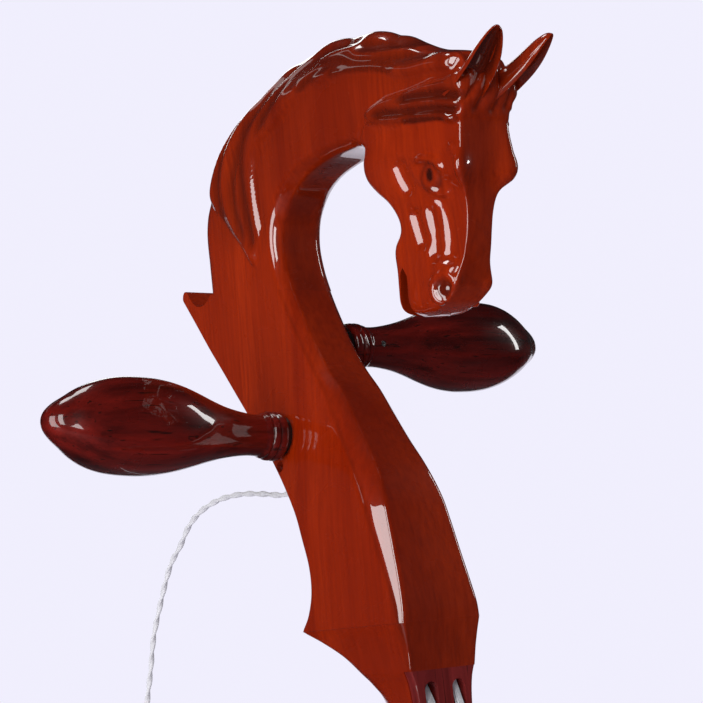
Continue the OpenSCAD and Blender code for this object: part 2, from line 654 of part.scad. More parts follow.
// Ribs: the top and bottom ribs run the full width and the side ribs stand between them
module top_rib() {
    a = box_top - rib_t;
    color(maple) difference() {
        slab(-rib_y, rib_y) polygon([[-rib_half(a), a], [rib_half(a), a],
            [rib_half(box_top), box_top], [-rib_half(box_top), box_top]]);
        stick(box_z, box_top + over);
    }
}
shank_r = button_neck_d / 2 - 1.5;
shank_len = rib_t + tail_block_h - mortise - 3;
module button_bore() {
    translate([0, 0, box_z - over]) cylinder(h = shank_len + over, r = shank_r + fit_gap);
}
module bottom_rib() {
    b = box_z + rib_t;
    color(maple) difference() {
        slab(-rib_y, rib_y) polygon([[-rib_half(box_z), box_z], [rib_half(box_z), box_z],
            [rib_half(b), b], [-rib_half(b), b]]);
        button_bore();
    }
}
module side_rib(s) {
    a = box_z + rib_t;
    b = box_top - rib_t;
    w = rib_t * lean;
    color(maple) slab(-rib_y, rib_y) polygon([[s * rib_half(a), a], [s * rib_half(b), b],
        [s * (rib_half(b) - w), b], [s * (rib_half(a) - w), a]]);
}
module left_rib() { side_rib(-1); }
module right_rib() { side_rib(1); }

// Inside the box: blocks, linings, bass bar and sound post
module corner_prisms() {
    p = outline(rib_t);
    for (i = [0 : 3]) slab(-rib_y, rib_y) polygon([p[i],
        p[i] + corner_leg * unit(p[(i + 1) % 4] - p[i]),
        p[i] + corner_leg * unit(p[(i + 3) % 4] - p[i])]);
}
module corner_blocks() {
    color(spruce) corner_prisms();
}
module end_block(z, h) {
    translate([-block_w / 2, -rib_y, z]) cube([block_w, 2 * rib_y, h]);
}
module top_block() {
    color(spruce) difference() {
        end_block(box_top - rib_t - top_block_h, top_block_h);
        stick(box_z, box_top);
    }
}
module tail_block() {
    color(spruce) difference() {
        end_block(box_z + rib_t, tail_block_h);
        stick(stick_bottom, box_top);
        button_bore();
    }
}
module lining() {
    color(spruce) difference() {
        slab(-rib_y, -rib_y + lining_h) polygon(outline(rib_t));
        slab(-rib_y - over, rib_y) polygon(outline(rib_t + lining_w));
        corner_prisms();
        end_block(box_z, rib_t + tail_block_h);
        end_block(box_top - rib_t - top_block_h, rib_t + top_block_h);
    }
}
module front_lining() { lining(); }
module back_lining() { mirror([0, 1, 0]) lining(); }
bar_x = -bridge_spacing / 2 - 16;
bar_h = 8;
bar_w = 7;
bar_end_gap = 12;
module bass_bar() {
    low = box_z + rib_t + tail_block_h + bar_end_gap;
    high = box_top - rib_t - top_block_h - bar_end_gap;
    color(spruce) translate([bar_x - bar_w / 2, 0, 0]) rotate([90, 0, 90]) linear_extrude(bar_w)
        polygon([[-rib_y, low], [-rib_y + 2, low], [-rib_y + bar_h, mix(low, bridge_z, 0.5)],
            [-rib_y + bar_h, mix(bridge_z, high, 0.4)], [-rib_y + 2, high], [-rib_y, high]]);
}
module sound_post() {
    color(spruce) translate([bridge_w / 2 - 8, rib_y, bridge_z - 16]) rotate([90, 0, 0])
        cylinder(h = 2 * rib_y, d = post_d);
}

// The bridge: two splayed feet, an arch between them, a heart opening and a narrow crown
module bridge() {
    crown = bridge_spacing / 2 + 7;
    foot = bridge_w / 2;
    top = -bridge_y + 1;
    base = arch_y;
    color(maple_dark) difference() {
        intersection() {
            translate([0, 0, bridge_z - bridge_t / 2]) linear_extrude(bridge_t) difference() {
                polygon([[-crown, -top], [crown, -top], [crown + 2, -top + 5],
                    [crown - 1, -top + bridge_h * 0.4], [foot - 8, -base - bridge_h * 0.28],
                    [foot, -base - 5], [foot, -base + 6], [-foot, -base + 6],
                    [-foot, -base - 5], [-foot + 8, -base - bridge_h * 0.28],
                    [-crown + 1, -top + bridge_h * 0.4], [-crown - 2, -top + 5]]);
                translate([0, -base + foot * 0.5]) circle(r = foot * 0.5 + bridge_h * 0.3);
                translate([0, -top + bridge_h * 0.25]) circle(r = bridge_h * 0.1);
            }
            across(2 * bridge_w) polygon([[-base + 8, bridge_z - bridge_t / 2],
                [-base + 8, bridge_z + bridge_t / 2], [-top - 1, bridge_z + 2.5],
                [-top - 1, bridge_z - 2.5]]);
        }
        arch(fit_gap);
        for (s = [-1, 1]) translate([s * bridge_spacing / 2 - string_w / 2 - rest_gap,
            -top - over, bridge_z - bridge_t])
            cube([string_w + 2 * rest_gap, over + 1 + string_t * 0.7 + rest_gap, 2 * bridge_t]);
    }
}

// The tailpiece lies over the plate, hung from the end button by a gut loop
module at_tail() {
    translate([0, tail_foot[0], tail_foot[1]]) rotate([tail_tilt, 0, 0]) children();
}
gut_x = 9;
module tailpiece() {
    w = tail_w / 2;
    xt = bridge_spacing / 2 - 3;
    color(rosewood) at_tail() difference() {
        intersection() {
            slab(-tail_t / 2, tail_t / 2) polygon([[-w * 0.6, 0], [w * 0.6, 0], [w, tail_len - 9],
                [w - 3, tail_len], [-w + 3, tail_len], [-w, tail_len - 9]]);
            translate([0, tail_w - tail_t / 2, -over])
                cylinder(h = tail_len + 2 * over, r = tail_w, $fn = 120);
        }
        for (s = [-1, 1]) {
            translate([s * xt - string_w / 2 - rest_gap, -string_t / 2 - rest_gap, tail_len - 12])
                cube([string_w + 2 * rest_gap, string_t + 2 * rest_gap, 14]);
            translate([s * gut_x, 0, -over]) cylinder(h = 14, d = gut_d + 2 * rest_gap);
        }
    }
}

// The gut: up out of the tailpiece's foot, over the saddle, round the button's neck and back
gut_r = gut_d / 2;
gut_turn = button_neck_d / 2 + gut_r + rest_gap;
saddle_y = -arch_y - 2 - gut_r - rest_gap;
gut_low = box_z - overhang - gut_r - rest_gap;
module tail_gut() {
    tilt = [-sin(tail_tilt), cos(tail_tilt)];
    inner = tail_foot + 11 * tilt;
    outer = tail_foot - 3 * tilt;
    half = [[gut_x, inner[0], inner[1]], [gut_x, tail_foot[0], tail_foot[1]],
        [gut_x, outer[0], outer[1]],
        [gut_x, saddle_y - 1, box_z + saddle_up + 2], [gut_x, saddle_y, box_z + 5],
        [gut_x, saddle_y + 0.2, box_z + 1], [gut_x, saddle_y + 1.2, gut_low + 1.6],
        [gut_x, saddle_y + 3.4, gut_low], [gut_x, saddle_y + 8, gut_low],
        [mix(gut_x, gut_turn, 0.5), saddle_y * 0.4, gut_low],
        [gut_turn, -6, mix(gut_low, box_z - groove_len / 2, 0.8)]];
    bow = [for (a = [0 : 20 : 180])
        [gut_turn * cos(a), gut_turn * sin(a), box_z - groove_len / 2]];
    n = len(half);
    path = concat(half, bow, [for (i = [n - 1 : -1 : 0]) [-half[i][0], half[i][1], half[i][2]]]);
    color("ivory") sweep(path, [[gut_r, gut_r]], 8);
}

// The end button: a grip with a domed end, a neck for the gut, and a shank in the tail block
module end_button() {
    g = button_d / 2;
    n = button_neck_d / 2;
    color(ebony) rotate_extrude() polygon([[0, -button_len / 2 - 3], [g * 0.5, -button_len / 2 - 2],
        [g - 1, -button_len / 2], [g, -button_len / 2], [g, button_len / 2],
        [n, button_len / 2 + 0.6], [n, box_z], [shank_r, box_z],
        [shank_r, box_z + shank_len - 1], [0, box_z + shank_len - 1]]);
}

// The carved head, as sections that fan from the pegbox's top round the arch and down the
// face. Each row has the inner edge's and the outer edge's depth and height, measured from
// the facing's top edge, then half-widths at the inner edge, the middle and the outer edge,
// the share of the section that the outer edge's rounding takes, and the mane's two bounds.
chw = carving_half_w;
head_rows = [
    [75, 184, 144.5, 196, front_half, chw, chw - 1.5, 0.06, 0.32, 0.34],
    [79, 195, 146, 212, front_half, chw, chw - 2, 0.1, 0.3, 0.36],
    [81, 207, 147.5, 231, front_half, chw, chw - 3, 0.12, 0.15, 0.55],
    [79.5, 217, 142, 250, front_half, chw, chw - 4, 0.16, 0.2, 0.96],
    [75, 224.5, 130, 270, front_half, chw, chw - 6, 0.22, 0.34, 1.1],
    [67, 231.5, 114, 282, front_half, chw, chw - 8, 0.28, 0.44, 1.1],
    [56, 236, 90, 289, front_half, chw, chw - 9, 0.34, 0.5, 1.1],
    [42, 238, 62, 296, front_half, chw, chw - 10, 0.36, 0.56, 1.1],
    [28, 238.5, 33, 296.5, front_half, chw, chw - 10, 0.36, 0.6, 1.1],
    [15, 237.5, 6, 291, front_half, chw, chw - 10, 0.36, 0.64, 1.1],
    [8, 236, -22, 279.5, front_half, chw, chw - 9, 0.36, 0.66, 1.1],
    [4.5, 234, -46, 266, front_half, chw, chw - 7, 0.34, 0.69, 1.1],
    [3, 232, -71, 252, chw - 3, chw, chw - 3, 0.2, 0.8, 1.05],
    [4, 229, -76, 241, chw - 3, chw, chw - 2, 0.16, 0.95, 1],
    [5, 226, -67, 231, chw - 3.5, chw + 0.3, chw - 1.5, 0.16, 1, 1],
    [4.5, 221.5, -64, 223, chw - 4, chw + 0.6, chw - 0.5, 0.18, 1, 1],
    [2, 217, -64, 215.5, chw - 4, chw + 0.4, chw, 0.2, 1, 1],
    [-3, 211.5, -67.5, 206.5, chw - 4.5, chw - 0.3, chw + 0.3, 0.22, 1, 1],
    [-9.5, 205, -61, 198.5, chw - 5, chw - 1.6, 9, 0.5, 1, 1],
    [-14, 197, -58.5, 190.5, chw - 5.5, chw - 2.4, 7, 0.6, 1, 1],
    [-14.5, 191, -57, 183, chw - 5.5, chw - 3, 6.6, 0.62, 1, 1],
    [-11.5, 185.5, -55, 176.5, chw - 5, chw - 3.3, 6.8, 0.62, 1, 1],
    [-9.5, 180, -52.5, 170.5, chw - 5.5, chw - 3.5, 7.2, 0.6, 1, 1],
    [-8.5, 173, -50.5, 164.5, chw - 6, chw - 3.5, 9, 0.5, 1, 1],
    [-8, 166, -47, 159, chw - 6.5, chw - 3.6, 9.6, 0.4, 1, 1],
    [-8, 159.5, -41, 154.5, chw - 7, chw - 4, 8.5, 0.4, 1, 1],
    [-9.5, 155, -33, 152, chw - 9, chw - 7, 6, 0.4, 1, 1]];

// Carved relief: round swellings and hollows as [depth, height, two radii, rise]
swells = [
    [-17, 222, 17, 15, 2.2], [-2, 236, 5, 8, -1.5], [-50, 213, 9, 6, 1.4],
    [-45.5, 206.5, 6, 5, -2.4], [-46, 207, 2.6, 2.4, 2.6], [-53, 204, 5, 4, 1.2],
    [-25, 197, 5, 12, -2.2], [-37, 189, 4, 16, -1.8], [-46, 188, 4, 12, 1],
    [-31, 178, 3.5, 12, 1], [-23, 171, 5, 7, 0.8], [-41, 161, 8, 8, 3.2],
    [-41.5, 160.5, 3.6, 3.6, -5.5], [-22, 158, 5, 5, 1.6], [-12, 182, 5, 5, 1.4],
    [-60, 226, 7, 9, -0.8]];
function swell(p) = [for (s = swells)
    s[4] * exp(-pow((p[0] - s[0]) / s[2], 2) - pow((p[1] - s[1]) / s[3], 2))]
    * [for (s = swells) 1];

// Locks drawn as lines, each a rounded ridge: the forelock swept back, and a loose lock
locks = [[[-62, 238], [-40, 242], [-22, 245], [-5, 247]],
    [[-70, 230], [-52, 233], [-34, 239]],
    [[40, 270], [70, 258], [88, 240], [90, 218]]];
function to_segment(p, a, b) =
    let (t = max(0, min(1, (p - a) * (b - a) / ((b - a) * (b - a))))) norm(p - a - t * (b - a));
function to_lock(p, l) = min([for (i = [0 : len(l) - 2]) to_segment(p, l[i], l[i + 1])]);
lock_rise = 1.8;
lock_r = 4;
function lock_relief(p) = lock_rise * max([for (l = locks) exp(-pow(to_lock(p, l) / lock_r, 2))]);

// The mane: raised, in four rounded locks that share the section's outer part
mane_rise = 1.6;
mane_locks = 4;
function mane_relief(v, lo, hi) =
    let (t = (v - lo) / max(0.02, hi - lo))
    (t <= 0 || t >= 1) ? 0
    : mane_rise * min(1, min(t, 1 - t) * 8) + 0.9 * abs(sin(180 * mane_locks * t)) - 0.3;

head_steps = 3;
section_steps = 18;
inner_round = 0.1;
function half_at(r, v) =
    r[5] - (r[5] - r[4]) * pow(1 - min(v / inner_round, 1), 2)
    - (r[5] - r[6]) * pow(1 - min((1 - v) / r[7], 1), 2);
function head_side(r) = [for (j = [0 : section_steps])
    let (v = j / section_steps, p = mix([r[0], r[1]], [r[2], r[3]], v), edge = min(1, 8 * v,
        8 * (1 - v)))
    [half_at(r, v) + edge * (swell(p) + lock_relief(p) + mane_relief(v, r[8], r[9])),
     facing_y + p[0], facing_z + p[1]]];
function head_ring(r) = let (s = head_side(r), n = len(s))
    concat(s, [for (i = [n - 1 : -1 : 0]) [-s[i][0], s[i][1], s[i][2]]]);

// Ears: a chain of squashed balls from root to tip, hollowed on the outer side.
// Each ear row is distance out from the middle, depth, height, and two radii.
ear_rows = [[10.5, -66, 243, 7, 6], [12, -74, 246.5, 6.6, 6.2], [13.5, -83, 250, 5.2, 5],
    [14.6, -91, 254, 3.2, 3.2], [15, -97.5, 257.5, 1, 1]];
module ear_ball(r) {
    translate([r[0], facing_y + r[1], facing_z + r[2]]) resize([2 * r[3], 2 * r[4], 2 * r[4]])
        sphere(r = 1, $fn = 12);
}
module ear() {
    difference() {
        for (i = [0 : len(ear_rows) - 2]) hull() {
            ear_ball(ear_rows[i]);
            ear_ball(ear_rows[i + 1]);
        }
        hull() {
            translate([7, -1, 0]) ear_ball(ear_rows[1] - [0, 0, 0, 3, 2.6]);
            translate([3.6, -1, 0]) ear_ball(ear_rows[3] - [0, 0, 0, 1.2, 1.4]);
        }
    }
}
mouth = [[-11, 150], [-17.5, 150], [-18.5, 160], [-17.5, 170], [-15, 174.5], [-12.5, 172],
    [-11.5, 162]];
module horse_head() {
    n = (len(head_rows) - 1) * head_steps;
    color(maple) difference() {
        union() {
            loft([for (i = [0 : n]) head_ring(along(head_rows, i / head_steps))]);
            ear();
            mirror([1, 0, 0]) ear();
        }
        translate([0, facing_y, facing_z]) across(80) polygon(mouth);
    }
}

horse_head();
pegbox();
neck();
facing();
upper_bridge();
left_bushing();
right_bushing();
left_peg_handle();
right_peg_handle();
left_peg_shaft();
right_peg_shaft();
left_lock_screw();
right_lock_screw();
left_winding();
right_winding();
low_string();
high_string();
string_tail();
front_plate();
back_plate();
front_binding();
back_binding();
top_rib();
bottom_rib();
left_rib();
right_rib();
front_lining();
back_lining();
corner_blocks();
top_block();
tail_block();
bass_bar();
sound_post();
bridge();
tailpiece();
tail_gut();
bottom_saddle();
end_button();
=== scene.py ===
import math

import bmesh
import bpy
import numpy as np
from mathutils import Matrix, Vector


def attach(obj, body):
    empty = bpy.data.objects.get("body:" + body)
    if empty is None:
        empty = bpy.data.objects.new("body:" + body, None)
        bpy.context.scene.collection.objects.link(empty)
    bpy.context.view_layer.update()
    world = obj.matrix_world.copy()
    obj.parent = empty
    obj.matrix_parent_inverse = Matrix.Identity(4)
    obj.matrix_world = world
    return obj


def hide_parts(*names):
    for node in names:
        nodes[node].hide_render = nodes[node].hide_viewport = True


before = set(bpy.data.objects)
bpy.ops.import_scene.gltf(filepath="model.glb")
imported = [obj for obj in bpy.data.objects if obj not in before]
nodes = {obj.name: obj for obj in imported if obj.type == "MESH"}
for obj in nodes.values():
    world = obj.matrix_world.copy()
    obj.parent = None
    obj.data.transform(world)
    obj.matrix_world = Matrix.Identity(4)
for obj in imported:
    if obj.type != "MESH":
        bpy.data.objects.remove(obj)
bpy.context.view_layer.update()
rng = np.random.default_rng(7)

# The carving is laid out in millimetres from the middle of the facing's top edge:
# across, depth towards the back, and height.
facingEdge = np.array([0.0, -48.0, 775.0])


def toMetres(points):
    return (np.asarray(points, float) + facingEdge) / 1000


def smoothRows(rows, steps):
    """Smooth curve through rows of numbers, with that many steps between two rows."""
    rows = np.array(rows, float)
    padded = np.vstack([2 * rows[0] - rows[1], rows, 2 * rows[-1] - rows[-2]])
    t = (np.arange(steps) / steps)[:, None]
    made = []
    for i in range(len(rows) - 1):
        a, b, c, d = padded[i:i + 4]
        made.append(0.5 * (2 * b + (c - a) * t + (2 * a - 5 * b + 4 * c - d) * t * t
                           + (3 * b - a - 3 * c + d) * t ** 3))
    return np.vstack(made + [rows[-1:]])


def tubeFaces(rings, sides, caps=True):
    i, j = np.meshgrid(np.arange(rings - 1), np.arange(sides), indexing="ij")
    a, b = i * sides + j, i * sides + (j + 1) % sides
    faces = np.stack([a, a + sides, b + sides, b], -1).reshape(-1, 4).tolist()
    if caps:
        faces.append(list(range(sides)))
        faces.append(list(range(rings * sides - 1, (rings - 1) * sides - 1, -1)))
    return faces


def newMesh(name, points, faces):
    mesh = bpy.data.meshes.new(name)
    mesh.from_pydata(np.asarray(points).tolist(), [], faces)
    mesh.update()
    piece = bpy.data.objects.new(name, mesh)
    bpy.context.scene.collection.objects.link(piece)
    return piece


def fixNormals(piece):
    bm = bmesh.new()
    bm.from_mesh(piece.data)
    bmesh.ops.recalc_face_normals(bm, faces=bm.faces)
    bm.to_mesh(piece.data)
    bm.free()


def smoothShade(piece, degrees=35):
    piece.data.polygons.foreach_set("use_smooth", [True] * len(piece.data.polygons))
    piece.data.set_sharp_from_angle(angle=math.radians(degrees))


def dress(piece, body, material, replaced=(), degrees=35):
    fixNormals(piece)
    smoothShade(piece, degrees)
    piece.data.materials.clear()
    piece.data.materials.append(material)
    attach(piece, body)
    if replaced:
        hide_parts(*replaced)
    return piece


def cut(piece, cutters, operation="DIFFERENCE"):
    for cutter in cutters:
        fixNormals(cutter)
        step = piece.modifiers.new("cut", "BOOLEAN")
        step.operation, step.solver, step.object = operation, "EXACT", cutter
        bpy.context.view_layer.update()
        made = bpy.data.meshes.new_from_object(piece.evaluated_get(bpy.context.evaluated_depsgraph_get()))
        piece.modifiers.clear()
        piece.data = made
        bpy.data.objects.remove(cutter)


def joinInto(piece, others):
    bm = bmesh.new()
    for each in [piece, *others]:
        bm.from_mesh(each.data)
    bm.to_mesh(piece.data)
    bm.free()
    for each in others:
        bpy.data.objects.remove(each)


def prism(name, outline, half):
    """A side outline of depths and heights, as wide as half either side of the middle."""
    n = len(outline)
    points = [(s * half, y, z) for s in (-1, 1) for y, z in outline]
    faces = [list(range(n)), list(range(2 * n - 1, n - 1, -1))]
    faces += [[i, (i + 1) % n, n + (i + 1) % n, n + i] for i in range(n)]
    return newMesh(name, toMetres(points), faces)


def rod(name, start, end, radius, sides=48):
    """A round cutter between two points in millimetres."""
    start, end = np.array(start, float), np.array(end, float)
    axis = (end - start) / np.linalg.norm(end - start)
    side = np.cross(axis, [0.3, 0.5, 0.8])
    side /= np.linalg.norm(side)
    up = np.cross(axis, side)
    turn = np.arange(sides) * 2 * np.pi / sides
    ring = radius * (np.cos(turn)[:, None] * side + np.sin(turn)[:, None] * up)
    return newMesh(name, toMetres(np.vstack([start + ring, end + ring])), tubeFaces(2, sides))


# Camera: it stands low and to the left, and looks up at the head
camera = bpy.data.objects.new("camera", bpy.data.cameras.new("camera"))
bpy.context.scene.collection.objects.link(camera)
bpy.context.scene.camera = camera
camera.data.sensor_width = 36
camera.data.lens = 87.77
camera.data.clip_start, camera.data.clip_end = 0.05, 60
right, up = Vector((0.8192, -0.5660, -0.0929)), Vector((-0.0136, -0.1811, 0.9834))
back = Vector((-0.5734, -0.8043, -0.1560))
camera.matrix_world = Matrix.Translation((-0.4618, -0.6495, 0.7978)) @ Matrix(
    (right, up, back)).transposed().to_4x4()
print("camera placed")


# Shader helpers
def put(tree, kind, inputs=None, **settings):
    node = tree.nodes.new("ShaderNode" + kind)
    for key, value in settings.items():
        setattr(node, key, value)
    for key, value in (inputs or {}).items():
        if isinstance(value, bpy.types.NodeSocket):
            tree.links.new(value, node.inputs[key])
        else:
            node.inputs[key].default_value = value
    return node


def newGroup(name, sockets, results):
    group = bpy.data.node_groups.new(name, "ShaderNodeTree")
    for label, kind, value in sockets:
        group.interface.new_socket(label, in_out="INPUT", socket_type="NodeSocket" + kind).default_value = value
    for label, kind in results:
        group.interface.new_socket(label, in_out="OUTPUT", socket_type="NodeSocket" + kind)
    return group, group.nodes.new("NodeGroupInput").outputs, group.nodes.new("NodeGroupOutput").inputs


def makeWoodGrain():
    """Streaks, clouds and pores of wood. Stretch squeezes the pattern along the grain."""
    group, given, result = newGroup(
        "woodGrain", [("Stretch", "Vector", (1, 1, 0.05)), ("Streak Scale", "Float", 400),
                      ("Cloud Scale", "Float", 40), ("Pore Share", "Float", 0.3)],
        [("Streaks", "Float"), ("Clouds", "Float"), ("Pores", "Float"), ("Height", "Float")])
    place = put(group, "TexCoord").outputs["Object"]
    along = put(group, "VectorMath", {0: place, 1: given["Stretch"]}, operation="MULTIPLY").outputs[0]
    streaks = put(group, "TexNoise", {"Vector": along, "Scale": given["Streak Scale"], "Detail": 5,
                                      "Roughness": 0.62, "Distortion": 0.15}).outputs["Fac"]
    clouds = put(group, "TexNoise", {"Vector": along, "Scale": given["Cloud Scale"], "Detail": 3,
                                     "Distortion": 0.6}).outputs["Fac"]
    finer = put(group, "Math", {0: given["Streak Scale"], 1: 4.0}, operation="MULTIPLY").outputs[0]
    specks = put(group, "TexNoise", {"Vector": along, "Scale": finer, "Detail": 2}).outputs["Fac"]
    streakMask = put(group, "MapRange", {"Value": streaks, "From Min": 0.3, "From Max": 0.7}).outputs[0]
    cloudMask = put(group, "MapRange", {"Value": clouds, "From Min": 0.32, "From Max": 0.68}).outputs[0]
    poreMask = put(group, "MapRange", {"Value": specks, "From Min": 0.62, "From Max": 0.7}).outputs[0]
    pores = put(group, "Math", {0: poreMask, 1: given["Pore Share"]}, operation="MULTIPLY").outputs[0]
    height = put(group, "Math", {0: streakMask, 1: pores}, operation="SUBTRACT").outputs[0]
    for label, value in (("Streaks", streakMask), ("Clouds", cloudMask), ("Pores", pores), ("Height", height)):
        group.links.new(value, result[label])
    return group


def makeShadedColour():
    """Three stain tones mixed by the grain, darker in pores, and darker still by the stain-and-shade input: painted
    shade in carved hollows, creases and on faces turned from the light, with some deeper stain.
    """
    group, given, result = newGroup(
        "shadedColour", [("Deep", "Color", (0, 0, 0, 1)), ("Middle", "Color", (0.5, 0.5, 0.5, 1)),
                         ("Bright", "Color", (1, 1, 1, 1)), ("Streaks", "Float", 0.5),
                         ("Clouds", "Float", 0.5), ("Pores", "Float", 0), ("Carved", "Float", 0)],
        [("Colour", "Color")])
    first = put(group, "Mix", data_type="RGBA")
    group.links.new(given["Streaks"], first.inputs[0])
    group.links.new(given["Deep"], first.inputs[6])
    group.links.new(given["Middle"], first.inputs[7])
    second = put(group, "Mix", data_type="RGBA")
    lines = put(group, "MapRange", {"Value": given["Streaks"], "To Min": 0.3}).outputs[0]
    share = put(group, "Math", {0: lines, 1: given["Clouds"]}, operation="MULTIPLY").outputs[0]
    group.links.new(share, second.inputs[0])
    group.links.new(first.outputs[2], second.inputs[6])
    group.links.new(given["Bright"], second.inputs[7])
    # pores and the stain-and-shade input (partly painted shade) pull the colour towards near-black
    darkness = put(group, "Math", {0: given["Pores"], 1: given["Carved"]}, operation="MAXIMUM").outputs[0]
    third = put(group, "Mix", data_type="RGBA")
    group.links.new(darkness, third.inputs[0])
    group.links.new(second.outputs[2], third.inputs[6])
    third.inputs[7].default_value = (0.012, 0.003, 0.002, 1)
    group.links.new(third.outputs[2], result["Colour"])
    return group


def makeHaze():
    """Faint wipe marks in the gloss."""
    group, given, result = newGroup("glossHaze", [("Low", "Float", 0.1), ("High", "Float", 0.2),
                                                  ("Scale", "Float", 30)], [("Roughness", "Float")])
    place = put(group, "TexCoord").outputs["Object"]
    marks = put(group, "TexNoise", {"Vector": place, "Scale": given["Scale"], "Detail": 4,
                                    "Distortion": 1.2}).outputs["Fac"]
    spread = put(group, "MapRange", {"Value": marks, "From Min": 0.3, "From Max": 0.7,
                                     "To Min": given["Low"], "To Max": given["High"]}).outputs[0]
    group.links.new(spread, result["Roughness"])
    return group


woodGrain, shadedColour, glossHaze = makeWoodGrain(), makeShadedColour(), makeHaze()


def place(tree, group, inputs):
    node = tree.nodes.new("ShaderNodeGroup")
    node.node_tree = group
    for key, value in inputs.items():
        if isinstance(value, bpy.types.NodeSocket):
            tree.links.new(value, node.inputs[key])
        else:
            node.inputs[key].default_value = value
    return node.outputs


def wood(name, look):
    material = bpy.data.materials.new(name)
    material.use_nodes = True
    tree = material.node_tree
    shader = tree.nodes["Principled BSDF"]
    grain = place(tree, woodGrain, {"Stretch": look["stretch"], "Streak Scale": look["streaks"],
                                    "Cloud Scale": look["clouds"], "Pore Share": look["pores"]})
    # the carved attribute holds painted shade in hollows, creases and under the arch, plus some darker stain
    carved = put(tree, "Attribute", attribute_name="carved").outputs["Fac"]
    if look.get("frontStainAndShade"):   # darker on what faces the front: partly a deeper stain, partly painted shade for faces turned from the key light
        normal = put(tree, "SeparateXYZ", {"Vector": put(tree, "TexCoord").outputs["Normal"]}).outputs["Y"]
        facing = put(tree, "MapRange", {"Value": normal, "From Min": -0.45, "From Max": -0.9,
                                        "To Max": look["frontStainAndShade"]}).outputs[0]
        carved = put(tree, "Math", {0: carved, 1: facing}, operation="MAXIMUM").outputs[0]
    colour = place(tree, shadedColour, {
        "Deep": (*look["deep"], 1), "Middle": (*look["middle"], 1), "Bright": (*look["bright"], 1),
        "Streaks": grain["Streaks"], "Clouds": grain["Clouds"], "Pores": grain["Pores"], "Carved": carved})
    tree.links.new(colour["Colour"], shader.inputs["Base Color"])
    haze = place(tree, glossHaze, {"Low": look["gloss"][0], "High": look["gloss"][1], "Scale": 25})
    tree.links.new(haze["Roughness"], shader.inputs["Roughness"])
    bump = put(tree, "Bump", {"Strength": look["bump"], "Distance": 0.0004, "Height": grain["Height"]})
    tree.links.new(bump.outputs[0], shader.inputs["Normal"])
    shader.inputs["Coat Weight"].default_value = look["coat"]
    shader.inputs["Coat Roughness"].default_value = look["coatRough"]
    shader.inputs["Coat IOR"].default_value = look.get("coatIndex", 1.5)
    shader.inputs["Specular IOR Level"].default_value = look["shine"]
    return material


uprightGrain, acrossGrain = (1, 1, 0.035), (0.05, 1, 1)
lacqueredMaple = wood("lacqueredMaple", {
    "stretch": (1, 1, 0.05), "streaks": 520, "clouds": 26, "pores": 0.25, "deep": (0.24, 0.0125, 0.0010),
    "middle": (0.30, 0.016, 0.0010), "bright": (0.50, 0.035, 0.0022), "gloss": (0.22, 0.32), "bump": 0.08,
    "coat": 1.0, "coatRough": 0.025, "shine": 0.08, "coatIndex": 1.88, "frontStainAndShade": 0.2})
flamedMaple = wood("flamedMaple", {
    "stretch": (0.25, 0.25, 1.6), "streaks": 70, "clouds": 16, "pores": 0.12, "deep": (0.17, 0.016, 0.004),
    "middle": (0.30, 0.034, 0.007), "bright": (0.40, 0.056, 0.010), "gloss": (0.2, 0.3), "bump": 0.05,
    "coat": 1.0, "coatRough": 0.03, "shine": 0.08})
stainedSpruce = wood("stainedSpruce", {
    "stretch": (1, 1, 0.012), "streaks": 620, "clouds": 14, "pores": 0.2, "deep": (0.22, 0.040, 0.008),
    "middle": (0.46, 0.115, 0.020), "bright": (0.52, 0.15, 0.028), "gloss": (0.25, 0.35), "bump": 0.15,
    "coat": 1.0, "coatRough": 0.04, "shine": 0.08})
bareSpruce = wood("bareSpruce", {
    "stretch": (1, 1, 0.02), "streaks": 500, "clouds": 20, "pores": 0.1, "deep": (0.45, 0.28, 0.13),
    "middle": (0.62, 0.44, 0.24), "bright": (0.68, 0.5, 0.29), "gloss": (0.6, 0.75), "bump": 0.2,
    "coat": 0.0, "coatRough": 0.3, "shine": 0.3})
oiledMaple = wood("oiledMaple", {
    "stretch": (0.1, 1, 1), "streaks": 300, "clouds": 40, "pores": 0.2, "deep": (0.36, 0.19, 0.075),
    "middle": (0.5, 0.29, 0.12), "bright": (0.58, 0.36, 0.17), "gloss": (0.38, 0.5), "bump": 0.12,
    "coat": 0.2, "coatRough": 0.2, "shine": 0.4})
rosewoodLook = {
    "streaks": 170, "clouds": 30, "pores": 0.8, "deep": (0.004, 0.0012, 0.0012), "middle": (0.065, 0.004, 0.003),
    "bright": (0.30, 0.014, 0.008), "gloss": (0.22, 0.34), "bump": 0.1, "coat": 1.0, "coatRough": 0.04,
    "shine": 0.1, "coatIndex": 1.6}
rosewoodPeg = wood("rosewoodPeg", {**rosewoodLook, "stretch": (0.07, 1, 1)})
rosewoodFacing = wood("rosewoodFacing", {**rosewoodLook, "stretch": (1, 1, 0.035), "coat": 0.5, "deep": (0.07, 0.006, 0.006),
                                         "middle": (0.20, 0.018, 0.017), "bright": (0.28, 0.028, 0.026)})
ebony = wood("ebony", {
    "stretch": (1, 1, 0.1), "streaks": 400, "clouds": 50, "pores": 0.3, "deep": (0.004, 0.0035, 0.0035),
    "middle": (0.012, 0.010, 0.010), "bright": (0.018, 0.014, 0.013), "gloss": (0.25, 0.4), "bump": 0.08,
    "coat": 0.4, "coatRough": 0.12, "shine": 0.45})


